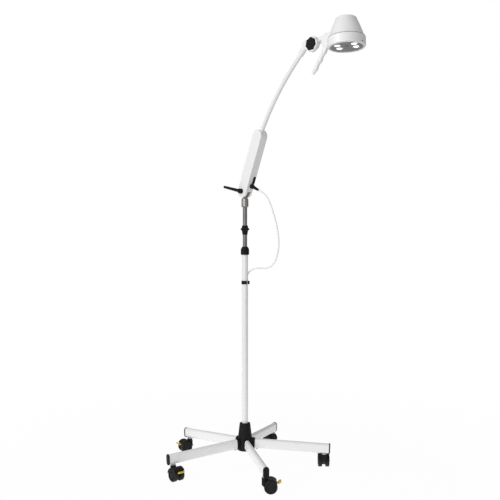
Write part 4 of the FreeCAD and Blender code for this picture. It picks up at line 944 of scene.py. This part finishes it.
class LAMP_OT_lenses(bpy.types.Operator):
    """Reflector cups and lit emitters for the plain lenses, the ring's set screw and a dark ring of
    painted shadow in the seam of shell and ring
    """
    bl_idname = "lamp.lenses"
    bl_label = "Lenses"
    azimuths = (60, 0, 180, 240)        # from the arm's direction, in degrees
    plate_drop = -14.4 * MM             # underside of the lens plate, from the ring's middle
    # The cup's profile: how far inside the lens's edge (None at its axis) and height, in mm.
    cup_profile = ((0, 0), (0.5, -0.5), (1.6, -0.4), (2.2, 0.3), (3.4, 2.2), (4.4, 2.6),
                   (None, 2.6), (None, 4.4), (3.5, 4.2), (0, 1.2), (0, 0))
    # The other profiles: radius and height, in millimetres.
    dome_profile = ((0, -1.0), (4.0, -0.8), (7.0, -0.1), (9.2, 1.0), (10.2, 2.0), (10.4, 2.8),
                    (0, 2.8))
    screw_profile = ((0, -0.6), (0.9, -0.6), (1.1, 0.7), (1.9, 0.7), (2.3, 0.3), (2.3, -1.0),
                     (0, -1.0))
    screw_azimuth = 5                   # of the set screw, from the arm's direction, in degrees
    screw_place = (67 * MM, 0, -9.5 * MM)       # of the set screw, before that turn
    seam = (64.2, 17.0)                 # radius and height of the joint of shell and ring, in mm
    seam_profile = ((0, -0.6), (1.5, -0.6), (1.8, 0), (1.5, 0.9), (0, 0.9), (0, -0.6))

    def execute(self, context):
        sizes, head = settings("sizes"), head_matrix()
        edge = sizes.lens_radius
        cup_profile = [(0 if inset is None else edge - inset * MM, height * MM)
                       for inset, height in self.cup_profile]
        cups, emitters = [], []
        for degrees in self.azimuths:
            turn = math.radians(degrees)
            place = Vector((sizes.lens_ring * math.cos(turn), sizes.lens_ring * math.sin(turn),
                            self.plate_drop))
            for group, profile, segments in ((cups, cup_profile, 56),
                                             (emitters, millimetres(self.dome_profile), 40)):
                mesh = lathe(profile, segments)
                mesh.transform(head @ Matrix.Translation(place))
                group.append(mesh)
        reflectors = add_piece("lens_cups", joined(cups), "head", FINISHES["reflector"])
        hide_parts("lenses")
        add_piece("lens_emitters", joined(emitters), "head", FINISHES["led"])
        self.set_screw(head)
        # painted shadow: a dark ring along the seam of shell and ring, where there is only shade
        self.gasket(head)
        return {"FINISHED"}

    def gasket(self, head):
        """Dark ring painted in the joint between the shell and the ring, as the seam's shadow."""
        # painted shadow: the ring is dark only to show the shade in the seam
        radius, height = self.seam
        gasket = lathe(millimetres([(radius + out, height + up) for out, up in self.seam_profile]),
                       96)
        gasket.transform(head)
        add_piece("shell_seam_shadow", gasket, "head", FINISHES["gasket"])

    def set_screw(self, head):
        """Small black screw in the ring's side."""
        screw = lathe(millimetres(self.screw_profile), 28)
        turn = Matrix.Rotation(math.radians(self.screw_azimuth), 4, "Z")
        place = along(Vector((1, 0, 0)), Vector(self.screw_place))
        screw.transform(head @ (turn @ place))
        add_piece("ring_set_screw", screw, "head", FINISHES["black"])


class LAMP_PT_panel(bpy.types.Panel):
    """Lists the lamp's steps and settings"""
    bl_idname = "LAMP_PT_panel"
    bl_label = "Examination Lamp"
    bl_space_type = "VIEW_3D"
    bl_region_type = "UI"
    bl_category = "Lamp"

    def draw(self, context):
        for step in STEPS:
            self.layout.operator(step.bl_idname)
        for kind in ("colours", "sizes", "studio"):
            box = self.layout.box()
            group = settings(kind)
            for name in group.__annotations__:
                box.prop(group, name)


GROUPS = (LampColours, LampSizes, LampStudio)
STEPS = (LAMP_OT_studio, LAMP_OT_finishes, LAMP_OT_lead, LAMP_OT_collar_ribs, LAMP_OT_gland,
         LAMP_OT_wheel_faces, LAMP_OT_lenses)


def register():
    for item in GROUPS + STEPS + (LAMP_PT_panel,):
        bpy.utils.register_class(item)
    bpy.types.Scene.lamp_colours = PointerProperty(type=LampColours)
    bpy.types.Scene.lamp_sizes = PointerProperty(type=LampSizes)
    bpy.types.Scene.lamp_studio = PointerProperty(type=LampStudio)


def unregister():
    for kind in ("studio", "sizes", "colours"):
        delattr(bpy.types.Scene, "lamp_" + kind)
    for item in reversed(GROUPS + STEPS + (LAMP_PT_panel,)):
        bpy.utils.unregister_class(item)


def main():
    register()
    for step in STEPS:
        group, name = step.bl_idname.split(".")
        getattr(getattr(bpy.ops, group), name)()


if __name__ == "__main__":
    main()
